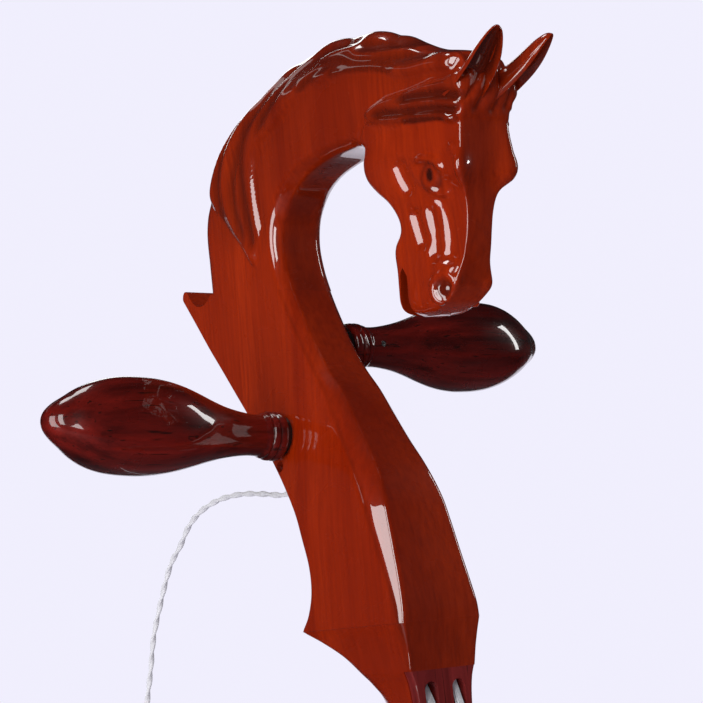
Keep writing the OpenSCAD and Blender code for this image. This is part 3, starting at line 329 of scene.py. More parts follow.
def plain(name, look):
    """A fibre, gut or metal finish: a colour that drifts a little, and fine lines in the bump."""
    material = bpy.data.materials.new(name)
    material.use_nodes = True
    tree = material.node_tree
    shader = tree.nodes["Principled BSDF"]
    grain = place(tree, woodGrain, {"Stretch": look["stretch"], "Streak Scale": look["lines"],
                                    "Cloud Scale": 60, "Pore Share": 0})
    colour = place(tree, shadedColour, {
        "Deep": (*look["deep"], 1), "Middle": (*look["light"], 1), "Bright": (*look["light"], 1),
        "Streaks": grain["Streaks"], "Clouds": 0.35})
    tree.links.new(colour["Colour"], shader.inputs["Base Color"])
    haze = place(tree, glossHaze, {"Low": look["gloss"][0], "High": look["gloss"][1], "Scale": 200})
    tree.links.new(haze["Roughness"], shader.inputs["Roughness"])
    bump = put(tree, "Bump", {"Strength": look["bump"], "Distance": 0.0002, "Height": grain["Height"]})
    tree.links.new(bump.outputs[0], shader.inputs["Normal"])
    for key, value in look.get("sockets", {}).items():
        shader.inputs[key].default_value = value
    return material


nylon = plain("nylonFilament", {"stretch": (1, 1, 0.04), "lines": 2500, "deep": (0.66, 0.66, 0.68),
                                "light": (0.92, 0.92, 0.94), "gloss": (0.2, 0.3), "bump": 0.3,
                                "sockets": {"Subsurface Weight": 0.15, "Subsurface Radius": (0.002, 0.002, 0.002),
                                            "Subsurface Scale": 0.5}})
whiteCord = plain("whiteCord", {"stretch": (1, 1, 1), "lines": 1800, "deep": (0.78, 0.77, 0.8),
                                "light": (0.95, 0.94, 0.97), "gloss": (0.5, 0.65), "bump": 0.4,
                                "sockets": {"Sheen Weight": 0.3}})
gut = plain("tailGut", {"stretch": (1, 1, 0.1), "lines": 900, "deep": (0.55, 0.44, 0.26),
                        "light": (0.72, 0.62, 0.42), "gloss": (0.25, 0.35), "bump": 0.1})
steel = plain("screwSteel", {"stretch": (1, 0.1, 1), "lines": 3000, "deep": (0.42, 0.41, 0.40),
                             "light": (0.62, 0.61, 0.60), "gloss": (0.22, 0.34), "bump": 0.2,
                             "sockets": {"Metallic": 1.0}})
print("materials made")


# Carving tools: they work on points of depth and height
def nearLine(points, line):
    """Distance to a line of points, and how far along it the nearest place is, 0 to 1."""
    line = np.array(line, float)
    legs = np.diff(line, axis=0)
    lengths = np.hypot(*legs.T)
    best, along = np.full(len(points), 1e9), np.zeros(len(points))
    done = 0.0
    for start, leg, length in zip(line, legs, lengths):
        t = np.clip(((points - start) @ leg) / length ** 2, 0, 1)
        away = np.hypot(*(points - start - t[:, None] * leg).T)
        near = away < best
        best[near], along[near] = away[near], done + t[near] * length
        done += length
    return best, along / done


def inside(points, outline):
    """Distance to an outline, positive inside it."""
    away, _ = nearLine(points, outline + outline[:1])
    y, z = points.T
    hit = np.zeros(len(points), bool)
    for (ay, az), (by, bz) in zip(outline, outline[1:] + outline[:1]):
        crossing = (az > z) != (bz > z)
        hit ^= crossing & (y < (by - ay) * (z - az) / ((bz - az) or 1e-9) + ay)
    return np.where(hit, away, -away)


def ease(value):
    value = np.clip(value, 0, 1)
    return value * value * (3 - 2 * value)


def stroke(points, line, width, rise, tip=0.25, curve=3):
    """A gouge (rise below 0) or a ridge along a smooth line, thinner at its tips."""
    away, along = nearLine(points, smoothRows(line, curve))
    fade = ease(np.minimum(along, 1 - along) / max(tip, 1e-3)) if tip else 1.0
    return rise * fade * np.exp(-(away / width / (0.45 + 0.55 * fade)) ** 2)


def dome(points, middle, sizes, rise, turn=0.0, power=2):
    """A round swelling, or a hollow if rise is below 0."""
    c, s = math.cos(math.radians(turn)), math.sin(math.radians(turn))
    off = points - np.array(middle, float)
    a, b = (off[:, 0] * c + off[:, 1] * s) / sizes[0], (-off[:, 0] * s + off[:, 1] * c) / sizes[1]
    return rise * np.exp(-np.hypot(a, b) ** power)


half = 15.5   # half of the carving's width
frontHalf = 13.5
head = {
    # inner edge, outer edge, half-widths inside, in the middle and outside, rounding's share, crown
    "rows": [
        [75, 184, 144.5, 196, frontHalf - 3, half, half - 1.5, 0.06, 0.3],
        [79, 195, 146, 212, frontHalf - 3.3, half, half - 2, 0.1, 0.4],
        [81, 207, 147.5, 231, frontHalf - 3.8, half, half - 3, 0.12, 0.6],
        [79.5, 217, 142, 250, frontHalf - 4, half, half - 4, 0.16, 1.0],
        [75, 224.5, 130, 269, frontHalf - 4.5, half, half - 6, 0.22, 1.6],
        [67, 231.5, 113.5, 281, frontHalf - 4.5, half, half - 8, 0.28, 2.0],
        [56, 236, 90, 288, frontHalf - 4.5, half, half - 9, 0.34, 2.2],
        [42, 238, 62, 294.0, frontHalf - 4.5, half, half - 10, 0.36, 2.2],
        [28, 238.5, 33, 294.2, frontHalf - 4, half, half - 10, 0.36, 2.2],
        [15, 237.5, 6, 289.2, frontHalf - 3.5, half, half - 10, 0.36, 2.2],
        [8, 236, -22, 278.5, frontHalf - 3, half, half - 9, 0.36, 2.2],
        [4.5, 234, -46, 266, frontHalf - 2.5, half, half - 7, 0.34, 2.2],
        [3, 232, -71, 255.4, half - 3, half, half - 4, 0.26, 2.2],
        [4, 229, -75, 241, half - 3, half, half - 3.5, 0.24, 1.4],
        [5, 226, -68, 231, half - 3.5, half + 0.3, half - 3.5, 0.26, 1.0],
        [4.5, 221.5, -65.5, 223, half - 4, half + 0.6, half - 3.5, 0.3, 0.8],
        [2, 217, -64.5, 215.5, half - 4, half + 0.4, half - 3.2, 0.32, 0.6],
        [-3, 211.5, -62.8, 207, half - 4.5, half - 0.3, half - 2.5, 0.34, 0.6],
        [-9.5, 205, -60, 198.5, half - 5, half - 1.6, 9, 0.5, 0.5],
        [-14, 197, -58.3, 190.5, half - 5.5, half - 2.4, 7, 0.6, 0.5],
        [-14.5, 191, -56.6, 183, half - 5.5, half - 3, 6.6, 0.62, 0.5],
        [-11.5, 185.5, -54.8, 176.5, half - 5, half - 3.3, 6.8, 0.62, 0.5],
        [-9.5, 180, -52.6, 170.5, half - 5.5, half - 3.5, 7.2, 0.6, 0.5],
        [-8.5, 173, -50, 164.5, half - 6, half - 3.5, 8.6, 0.5, 0.5],
        [-8, 166, -46.6, 159, half - 6.5, half - 3.6, 9.2, 0.4, 0.6],
        [-8, 159.5, -41, 154.5, half - 7, half - 4, 8.5, 0.4, 0.8],
        [-9.5, 155.5, -33, 152, half - 8.5, half - 6, 6.5, 0.4, 1.0],
        [-13, 152.8, -27, 151.3, 3.5, 4.5, 3, 0.4, 0.5]],
    "ringSteps": 18,
    "sideSteps": 72,
    "outerCap": 12,
    "innerCap": 8,
    "innerRound": 0.1,
    "edgeSoftening": 3,
}
mane = {
    "outline": [(-64, 249), (-50, 253), (-37, 255), (-23, 260), (-9, 266), (6, 270), (20, 272), (38, 274.5),
                (50, 273), (58, 267.5), (66, 265), (76, 262.5), (86, 259), (91, 253), (93.5, 244), (93.5, 232),
                (91.5, 219), (95, 210), (100, 200.5), (105, 208), (115, 219), (126, 231), (139, 246),
                (152, 258), (165, 300), (60, 330), (-60, 320), (-75, 262)],
    "rise": 2.8,
    "soft": 1.0,
    "roll": 3.8,   # how much wider the edge rolls over at the bend of the neck
    "valleys": [
        [(-2, 284), (22, 289), (36, 287), (52, 285), (66, 280), (80, 271), (89, 262)],
        [(30, 297), (42, 294), (58, 290), (72, 285), (83, 279), (94, 271), (103, 262), (111, 250), (113, 238),
         (110, 224), (102, 207)],
        [(8, 277), (20, 279), (31, 279), (42, 277), (51, 273)],
        [(66, 293), (86, 289), (100, 283), (111, 276), (121, 265), (127, 252), (127, 239), (122, 227), (112, 214),
         (103, 204)],
        [(92, 277), (99, 268), (103, 257), (104, 245), (102, 230), (99, 214), (99, 205)],
        [(106, 287), (120, 278), (132, 266), (138, 253), (138, 243), (130, 233)],
        [(-62, 258), (-49, 262), (-35, 264), (-14, 269), (4, 275), (16, 281), (34, 284), (50, 281), (64, 273)],
        [(-44, 268), (-30, 273), (-12, 277), (8, 283)],
        [(-30, 261), (-16, 265), (-2, 270), (14, 275), (26, 275)]],
    "valleyWidth": 3.7,
    "valleyDepth": 2.6,
    "notches": [[(144, 246), (4, 5), -1.7], [(127, 276), (5, 4), -1.5], [(91, 287), (5, 4), -1.7],
                [(60, 294), (5, 4), -1.2], [(18, 291), (5, 4), -1.1], [(-14, 281), (5, 4), -1.2]],
}
forelock = {
    "outline": [(-3, 247.5), (-18, 249.5), (-34, 248), (-49, 247), (-62, 245), (-70, 247), (-88, 236), (-90, 222),
                (-80, 221), (-70, 224), (-54, 229.5), (-37, 233), (-20, 238), (-8, 242)],
    "rise": 3.4,
    "soft": 0.8,
    "valleys": [[(-8, 245), (-20, 242.5), (-34, 239), (-50, 235.5), (-66, 231), (-82, 227)],
                [(-28, 246), (-42, 243.6), (-57, 240), (-72, 235)],
                [(-30, 235.5), (-45, 232), (-60, 227.5)]],
}
faceDomes = [   # middle, sizes, rise, turn, and how flat the top is
    [(-17, 221), (18, 16), 1.6, 0, 2], [(-55, 199), (4.5, 6), -1.2, -30, 2],
    [(-44.5, 207.5), (9.5, 8), -2.8, 0, 2.5], [(-44.2, 207.8), (4.6, 4.8), 3.6, 0, 2.5],
    [(-40.6, 159.6), (8.0, 7.8), 2.8, 0, 5], [(-40.8, 159.2), (5.2, 5.0), -4.2, 0, 4],
    [(-40.8, 159.2), (2.4, 2.3), 1.4, 0, 3], [(-21, 160), (4.5, 6), 1.5, 0, 2], [(-12, 182), (4, 6), 1.0, 0, 2],
    [(-33, 240), (10, 5), 0.6, -10, 2], [(12, 246), (9, 9), -0.9, 0, 2], [(-30, 155), (6, 3.5), 0.9, 0, 2]]
faceStrokes = [   # line, width, rise
    [[(-24, 222), (-26.5, 212), (-30, 202)], 3.4, -3.2],
    [[(-27.5, 200), (-29, 189), (-32, 177)], 3.2, -3.0],
    [[(-38, 200), (-38.8, 186), (-36, 170)], 2.7, -2.6],
    [[(-43, 205), (-46.6, 193), (-46.4, 179), (-41.5, 167)], 4.6, -2.4],
    [[(-34.5, 216.5), (-42, 216.2), (-48, 213.5), (-53.5, 207)], 1.5, 2.6],
    [[(-35.5, 215), (-37.5, 208), (-41.5, 202.5), (-47.5, 199), (-53, 201)], 1.4, 2.1],
    [[(-50, 212), (-52, 208), (-51, 204)], 1.0, 1.0],
    [[(-32, 165), (-32.5, 157), (-38, 151.5), (-47, 151.5)], 1.1, -1.0],
    [[(-34, 171), (-42, 169.5), (-50, 166)], 2.0, 1.0],
    [[(6, 236), (3, 241), (-3, 247)], 1.6, -1.6],
    [[(-57, 219), (-62, 214), (-63, 207)], 2.6, 1.6],
    [[(-26, 168), (-25, 160), (-27, 153)], 1.4, -0.8]]
pupil = [(-43.8, 208.6), (2.2, 3.0), -1.8]
browTufts = {   # seen from the front: across and height
    "valleys": [[(0, 257), (-1, 247), (-4, 238), (-6, 229)], [(-3, 257), (-6, 248), (-10, 240), (-13, 233)],
                [(-8, 256), (-12, 249), (-16, 243)], [(2, 257), (4, 247), (5, 238), (3, 229)],
                [(5, 257), (8, 248), (10, 240), (10, 231)], [(9, 256), (13, 248), (16, 241)]],
    "width": 1.7,
    "depth": 2.2,
    "low": 227,
    "high": 258,
    "bones": [[(-15, 206.5), (6, 7), 3.4], [(15, 206.5), (6.5, 7), 4.8], [(-15, 215), (8, 9), 0.7],
              [(15, 215), (6.5, 8), 3.0], [(-14, 224), (8, 9), 0.3], [(14, 224), (7, 8), 1.8],
              [(-9, 161), (3, 4), 1.5], [(9, 161), (3, 4), 1.5]],
}


def carvedRelief(points):
    """How far the carving rises (mm) at each depth and height, and how dark it is painted: painted shade in the
    pupil, round the eye, in the nostril and in the valleys, and darker near the mane, over the arch top and over the
    forelock.
    """
    maneIn = inside(points, mane["outline"])
    lock = inside(points, forelock["outline"])
    roll = 1 + mane["roll"] * np.exp(-((points[:, 0] - 76) / 24) ** 2 - ((points[:, 1] - 256) / 20) ** 2)
    maneMask = ease(maneIn / (mane["soft"] * roll) + 0.35) * (1 - ease(lock / 2 + 0.5))
    valleys = np.zeros(len(points))
    for line in mane["valleys"]:
        valleys = np.minimum(valleys, stroke(points, line, mane["valleyWidth"], -mane["valleyDepth"], 0.12))
    border = -0.5 * np.exp(-((maneIn + 1.2) / 1.6) ** 2) * (points[:, 1] < 280)
    rise = maneMask * (mane["rise"] + valleys) + border
    for notch in mane["notches"]:
        rise += dome(points, *notch)
    lockMask = ease(lock / forelock["soft"] + 0.4)
    lockValleys = np.zeros(len(points))
    for line in forelock["valleys"]:
        lockValleys = np.minimum(lockValleys, stroke(points, line, 2.1, -3.2, 0.12))
    rise += lockMask * (forelock["rise"] + lockValleys)
    for middle, sizes, height, turn, flat in faceDomes:
        rise += dome(points, middle, sizes, height, turn, flat)
    for line, width, height in faceStrokes:
        rise += stroke(points, line, width, height)
    eye = dome(points, *pupil, 0, 4)
    # painted shade: the pupil hole, a ring round the eye socket and the nostril's crater are painted dark
    dark = np.clip(-eye / 1.8 * 1.3, 0, 1)
    socket = np.hypot((points[:, 0] + 44.2) / 5.4, (points[:, 1] - 207.8) / 5.6)
    dark = np.maximum(dark, 0.45 * np.exp(-((socket - 1) / 0.22) ** 2))
    dark = np.maximum(dark, 0.6 * np.clip(-dome(points, (-40.8, 159.2), (4.8, 4.6), -1, 0, 6), 0, 1))
    # painted shade in the mane's and forelock's valleys
    deep = np.clip(-(maneMask * valleys + lockMask * lockValleys) / 2.4, 0, 1)
    depth, level = points.T
    shade = 0.24 * ease(1 + maneIn / 22) * ease((level - 200) / 25)
    shade = np.maximum(shade, 0.2 * ease((level - 215) / 30) * ease((depth + 20) / 30))
    shade = np.maximum(shade, 0.34 * lockMask)
    return rise + eye, np.clip(np.maximum(dark, shade) + 0.36 * deep, 0, 0.9)


def browRelief(points):
    """The same for the tufts on the brow, at each place across and height; the darkness is painted shade in the
    tufts' valleys.
    """
    valleys = np.zeros(len(points))
    for line in browTufts["valleys"]:
        valleys = np.minimum(valleys, stroke(points, line, browTufts["width"], -browTufts["depth"], 0.1))
    level = points[:, 1]
    mask = ease((level - browTufts["low"]) / 4) * ease((browTufts["high"] - level) / 4)
    bones = sum(dome(points, *bone) for bone in browTufts["bones"])
    return mask * (valleys + 0.8) + bones, 0.5 * mask * (valleys / browTufts["depth"]) ** 2


def buildHead():
    rows = smoothRows(head["rows"], head["ringSteps"])
    inner, outer = rows[:, 0:2], rows[:, 2:4]
    wIn, wMid, wOut, share, crown = rows[:, 4:9].T[:, :, None]
    length = np.linalg.norm(outer - inner, axis=1)[:, None]
    s = np.linspace(0, 1, head["sideSteps"] + 1)[None, :]
    v = s - 0.72 * np.sin(2 * np.pi * s) / (2 * np.pi)
    side = wMid - (wMid - wIn) * (1 - np.minimum(v / head["innerRound"], 1)) ** 2 \
        - (wMid - wOut) * (1 - np.minimum((1 - v) / share, 1)) ** 2
    innerX = side[:, :1] * np.linspace(0, 1, head["innerCap"] + 1)[None, :-1]
    outerX = side[:, -1:] * np.linspace(1, 0, head["outerCap"] + 1)[None, 1:]
    innerV = 0.4 / length * (1 - (innerX / side[:, :1]) ** 2)
    outerV = 1 + crown / length * (1 - (outerX / side[:, -1:]) ** 2) - crown / length
    sideV = v * (1 - crown / length)
    across = np.hstack([innerX, side, outerX])
    along = np.hstack([-innerV * 0, sideV, outerV])
    across = np.hstack([across, -across[:, -2:0:-1]])
    along = np.hstack([along, along[:, -2:0:-1]])
    flat = inner[:, None, :] + along[:, :, None] * (outer - inner)[:, None, :]
    grid = np.dstack([across, flat])
    for _ in range(head["edgeSoftening"]):
        grid = 0.25 * np.roll(grid, 1, 1) + 0.5 * grid + 0.25 * np.roll(grid, -1, 1)
    rise, dark = carvedRelief(grid[:, :, 1:].reshape(-1, 2))
    rise, dark = rise.reshape(grid.shape[:2]), dark.reshape(grid.shape[:2])
    down = np.gradient(grid, axis=0)
    around = np.roll(grid, -1, 1) - np.roll(grid, 1, 1)
    normal = np.cross(around, down)
    normal /= np.linalg.norm(normal, axis=2)[:, :, None] + 1e-9
    if normal[len(rows) // 2, head["innerCap"] + 30, 0] < 0:
        normal = -normal
    seamFade = ease((np.arange(len(rows)) / head["ringSteps"]))[:, None]
    columns = grid.shape[1]
    place = np.minimum(np.arange(columns), columns - np.arange(columns))
    capFade = ease((place - 2) / 12.0)[None, :]   # nothing is carved on the inner face
    faceTop = 12 * head["ringSteps"]
    outerEdge = head["innerCap"] + head["sideSteps"]
    frontFade = np.ones_like(rise)
    frontFade[faceTop + 40:] = ease((outerEdge - place) / 7.0)[None, :]
    brow, browDark = browRelief(grid[:, :, [0, 2]].reshape(-1, 2))
    onBrow = ease((place - outerEdge + 12) / 13.0)[None, :] * np.ones_like(rise)
    onBrow[:faceTop - 24] = 0
    lift = rise * seamFade * capFade * frontFade * (1 - onBrow) + brow.reshape(rise.shape) * onBrow
    dark = np.maximum(dark * frontFade * (1 - onBrow), browDark.reshape(rise.shape) * onBrow)
    for _ in range(3):
        lift[1:-1] = 0.25 * lift[:-2] + 0.5 * lift[1:-1] + 0.25 * lift[2:]
        lift = 0.2 * np.roll(lift, 1, 1) + 0.6 * lift + 0.2 * np.roll(lift, -1, 1)
    grid = grid + normal * lift[:, :, None]
    for _ in range(1):
        grid[1:-1] = 0.25 * grid[:-2] + 0.5 * grid[1:-1] + 0.25 * grid[2:]
    piece = newMesh("horseHead", toMetres(grid.reshape(-1, 3)), tubeFaces(len(rows), columns))
    # painted shade: the inner face under the arch is painted darker
    piece.data.attributes.new("carved", "FLOAT", "POINT").data.foreach_set(
        "value", np.maximum(dark * capFade, 0.34 * (1 - capFade)).ravel().astype(np.float32))
    return piece


ear = {
    # across, depth, height, width, thickness, hollow
    "rows": [[6.0, -50, 236.0, 8.6, 9.5, -0.3], [8.0, -60, 237.4, 8.4, 9.2, 0.2], [9.4, -68.5, 239.6, 7.8, 8.6, 0.6],
             [10.6, -75.5, 242.2, 7.3, 7.9, 0.85], [11.7, -82, 245.2, 6.8, 7.1, 0.95],
             [12.7, -87.5, 248.6, 6.0, 6.2, 0.95], [13.5, -92.3, 252.2, 4.6, 4.9, 0.9],
             [14.1, -95.8, 254.9, 3.0, 3.2, 0.8], [14.5, -97.6, 256.2, 1.6, 1.8, 0.5], [14.6, -98.3, 256.7, 0.5, 0.5, 0.2]],
    "hollowWay": (0.4, -0.5, -0.75),
    "sides": 40,
    "steps": 6,
}


def buildEar(side):
    rows = smoothRows(ear["rows"], ear["steps"])
    middles = rows[:, :3] * [side, 1, 1]
    axis = np.gradient(middles, axis=0)
    axis /= np.linalg.norm(axis, axis=1)[:, None]
    out = np.array(ear["hollowWay"]) * [side, 1, 1]   # the hollows look outwards and down
    front = out - (axis @ out)[:, None] * axis
    front /= np.linalg.norm(front, axis=1)[:, None]
    width = np.cross(axis, front)
    turn = np.arange(ear["sides"]) * 2 * np.pi / ear["sides"]
    c, s = np.cos(turn)[None, :], np.sin(turn)[None, :]
    wide, thick, hollow = rows[:, 3:4], rows[:, 4:5], rows[:, 5:6]
    lip = np.where(s > 0, -hollow * ease((0.9 - np.abs(c)) / 0.28), 0)
    depth = np.where(s > 0, 0.55 * s, np.sign(s) * np.abs(s) ** 1.25) + lip * 1.3
    grid = middles[:, None, :] + (wide * c)[:, :, None] * width[:, None, :] \
        + (thick * depth)[:, :, None] * front[:, None, :]
    piece = newMesh("ear", toMetres(grid.reshape(-1, 3)), tubeFaces(len(rows), ear["sides"]))
    # the ear is a little darker all over, and its hollow darker still: painted shade inside the hollow
    dark = 0.2 + 0.6 * np.clip(-lip, 0, 1) * np.ones_like(wide)
    piece.data.attributes.new("carved", "FLOAT", "POINT").data.foreach_set(
        "value", dark.ravel().astype(np.float32))
    return piece


horseHead = buildHead()
mouthSlot = [(-11, 148), (-17.5, 148), (-18.2, 160), (-17.5, 170), (-15, 174.5), (-12.8, 172), (-11.6, 162)]
cut(horseHead, [prism("mouth", mouthSlot, 40)])
joinInto(horseHead, [buildEar(-1), buildEar(1)])
dress(horseHead, "fiddle", lacqueredMaple, ["horse_head"], 50)
print("horse's head carved", len(horseHead.data.polygons))

# The pegbox and the neck are lofted from the same rows as their solids
neckHalf, facingHalf, pegboxHalf = 14.5, 17.5, 22.5


def mix(a, b, t):
    return a + (b - a) * t


pegbox = {
    # height, front, back, half-width, half-width of the front, chamfer, rounding at the back
    "rows": [
        [-44, 0, 32, neckHalf, neckHalf - 0.5, 1, 16], [-26, 0, 32, neckHalf, neckHalf - 0.5, 1, 16],
        [-13, 0, 35, neckHalf + 0.6, neckHalf + 0.1, 1, 16],
        [-5, 0, 41, mix(neckHalf, facingHalf, 0.6), mix(neckHalf, facingHalf, 0.6) - 0.5, 1, 14],
        [0, 0, 45, facingHalf + 0.4, facingHalf, 1, 12],
        [8, -1, 53.5, 18.9, facingHalf + 0.9, 1, 8],
        [15, -2, 65, 20.4, facingHalf + 2, 1.4, 5],
        [20.4, -2.9, 75, pegboxHalf - 0.5, facingHalf + 3, 2.2, 2],
        [21.6, -3, 75.3, pegboxHalf, facingHalf + 3, 2.6, 2],
        [28, -3, 70, pegboxHalf, facingHalf + 2.5, 3.6, 2],
        [38, -1, 66, pegboxHalf, facingHalf + 1.5, 5, 2], [50, 2, 66, pegboxHalf, facingHalf + 0.5, 6.5, 2],
        [64, 5.5, 70, pegboxHalf, facingHalf - 0.5, 8, 2], [76, 9, 75, pegboxHalf - 0.7, frontHalf + 2.6, 9, 2],
        [90, 15.5, 84, pegboxHalf - 1.8, frontHalf + 0.6, 8.8, 2],
        [104, 25, 95, mix(pegboxHalf, half, 0.45), frontHalf - 0.8, 7.8, 2],
        [117, 33.5, 106, mix(pegboxHalf, half, 0.65), frontHalf - 1.6, 6.8, 2],
        [130, 42, 118, mix(pegboxHalf, half, 0.83), frontHalf - 2.2, 6, 2],
        [142, 52, 129, mix(pegboxHalf, half, 0.95), frontHalf - 2.4, 5.2, 2],
        [155, 60.5, 140, half, frontHalf - 2.6, 4.8, 2], [169, 68, 151.5, half, frontHalf - 2.8, 4.8, 2],
        [184, 75, 163, half, frontHalf - 2.9, 4.8, 2], [198, 79.5, 173.5, half, frontHalf - 3, 4.8, 1.5],
        [204, 81, 178, half, frontHalf - 3, 4.8, 1.5]],
    "ringSteps": 9,
    "cavity": [   # height, front, half-width of the open back
        [33, 30, 14.2], [36, 22, 14.4], [46, 18, 15], [60, 23.5, 16], [75, 29, 16], [90, 35.4, 16],
        [103, 41, 14.2], [112.3, 45, 12.96], [124, 50, 12.2], [149, 63, 10.5], [156.3, 66.3, 10],
        [170, 73.5, 10], [176, 80, 10], [179, 94, 10]],
    "seam": [(15, 173.6), (75, 184), (144.5, 196), (146.5, 194.6), (149, 193), (152, 192), (155.5, 191.8),
             (159, 192.6), (162.2, 194.6), (165, 197.4), (167, 200.2), (168.4, 202), (169.8, 202.9),
             (171.3, 202.7), (172.5, 201.4), (173, 199.6), (172.7, 197.4), (171.8, 195), (170.6, 192.6),
             (169, 189.6), (190, 189.6), (190, 230), (15, 230)],
}


def lofted(name, rows, steps, floor=None):
    """Sections with a flat front, a chamfer, flat sides and a rounded back."""
    rows = smoothRows(rows, steps)
    z, front, deep, wide, face, chamfer, rounding = rows.T
    rounding = np.maximum(rounding, 1.2)
    spread = np.linspace(0, 1, 9)
    slope = np.hypot(wide - face, chamfer)
    first, second = np.minimum(1.6, 0.35 * slope), np.minimum(3.6, 0.42 * slope)
    toX, toY = (wide - face) / slope, chamfer / slope
    x = [(face - first)[:, None] * spread[None, :]]
    y = [np.repeat(front[:, None], 9, 1)]
    bend = np.linspace(0, 1, 8)[None, 1:]
    for cornerX, cornerY, reach, inX, inY, outX, outY in (
            (face, front, first, 1, 0, toX, toY), (wide, front + chamfer, second, toX, toY, 0, 1)):
        startX, startY = cornerX - reach * inX, cornerY - reach * inY
        endX, endY = cornerX + reach * outX, cornerY + reach * outY
        if len(x) > 2:   # the flat of the chamfer
            for t in (0.33, 0.67):
                x.append(mix(x[-1][:, -1:], startX[:, None], t))
                y.append(mix(y[-1][:, -1:], startY[:, None], t))
            x.append(startX[:, None])
            y.append(startY[:, None])
        for made, a, b, c in ((x, startX, cornerX, endX), (y, startY, cornerY, endY)):
            made.append(a[:, None] * (1 - bend) ** 2 + 2 * b[:, None] * bend * (1 - bend) + c[:, None] * bend ** 2)
        if len(x) == 2:
            x.append(x[-1][:, -1:] + 0.02 * toX[:, None])
            y.append(y[-1][:, -1:] + 0.02 * toY[:, None])
    straight = (deep - rounding) - (front + chamfer + second)
    lane = np.linspace(0, 1, 15)[1:]
    lane = lane - 0.6 * np.sin(2 * np.pi * lane) / (2 * np.pi)
    x.append(np.repeat(wide[:, None], 14, 1))
    y.append((front + chamfer + second)[:, None] + straight[:, None] * lane[None, :])
    turn = np.linspace(0, np.pi / 2, 11)[1:]
    tight = np.minimum(rounding, wide - 0.5)
    x.append((wide - tight)[:, None] + tight[:, None] * np.cos(turn)[None, :])
    y.append((deep - rounding)[:, None] + rounding[:, None] * np.sin(turn)[None, :])
    lastX = x[-1][:, -1:]
    x.append(lastX * np.linspace(1, 0, 7)[None, 1:])
    y.append(np.repeat(deep[:, None], 6, 1))
    x, y = np.hstack(x), np.hstack(y)
    x, y = np.hstack([x, -x[:, -2:0:-1]]), np.hstack([y, y[:, -2:0:-1]])
    for _ in range(1):
        x = 0.25 * np.roll(x, 1, 1) + 0.5 * x + 0.25 * np.roll(x, -1, 1)
        y = 0.25 * np.roll(y, 1, 1) + 0.5 * y + 0.25 * np.roll(y, -1, 1)
    if floor is not None:
        y = np.maximum(y, floor)
    grid = np.dstack([x, y, np.repeat(z[:, None], x.shape[1], 1)])
    return newMesh(name, toMetres(grid.reshape(-1, 3)), tubeFaces(len(rows), x.shape[1]))


pegAxes = {"left": (84.5, 112.3, 4.2, -1), "right": (77, 156.3, 0.7, 1)}   # depth, height, tilt, side


def pegPoint(name, out, a=0.0, b=0.0):
    """A point on or beside a peg's axis, in millimetres: out from the middle, then local X and Y."""
    depth, height, tilt, side = pegAxes[name]
    c, s = math.cos(math.radians(tilt)), math.sin(math.radians(tilt))
    return np.array([side * c * out + s * a, depth + b, height + s * out - side * c * a])


def stringDirection(name):
    """Where a string leaves its winding, and which way it runs to its slot (depth and height)."""
    depth, height = pegAxes[name][:2]
    slot, middle = np.array([0.0, -17.0]), np.array([depth, height])
    way = (slot - middle) / np.linalg.norm(slot - middle)
    c = windRadius / np.linalg.norm(slot - middle)
    normal = c * way + math.sqrt(1 - c * c) * np.array([way[1], -way[0]])
    leave = middle + windRadius * normal
    return normal, leave, (slot - leave) / np.linalg.norm(slot - leave)


cordRadius, shaftRadius = 1.2, 5.0
windRadius = shaftRadius + cordRadius + 0.15
slotX = 7.5


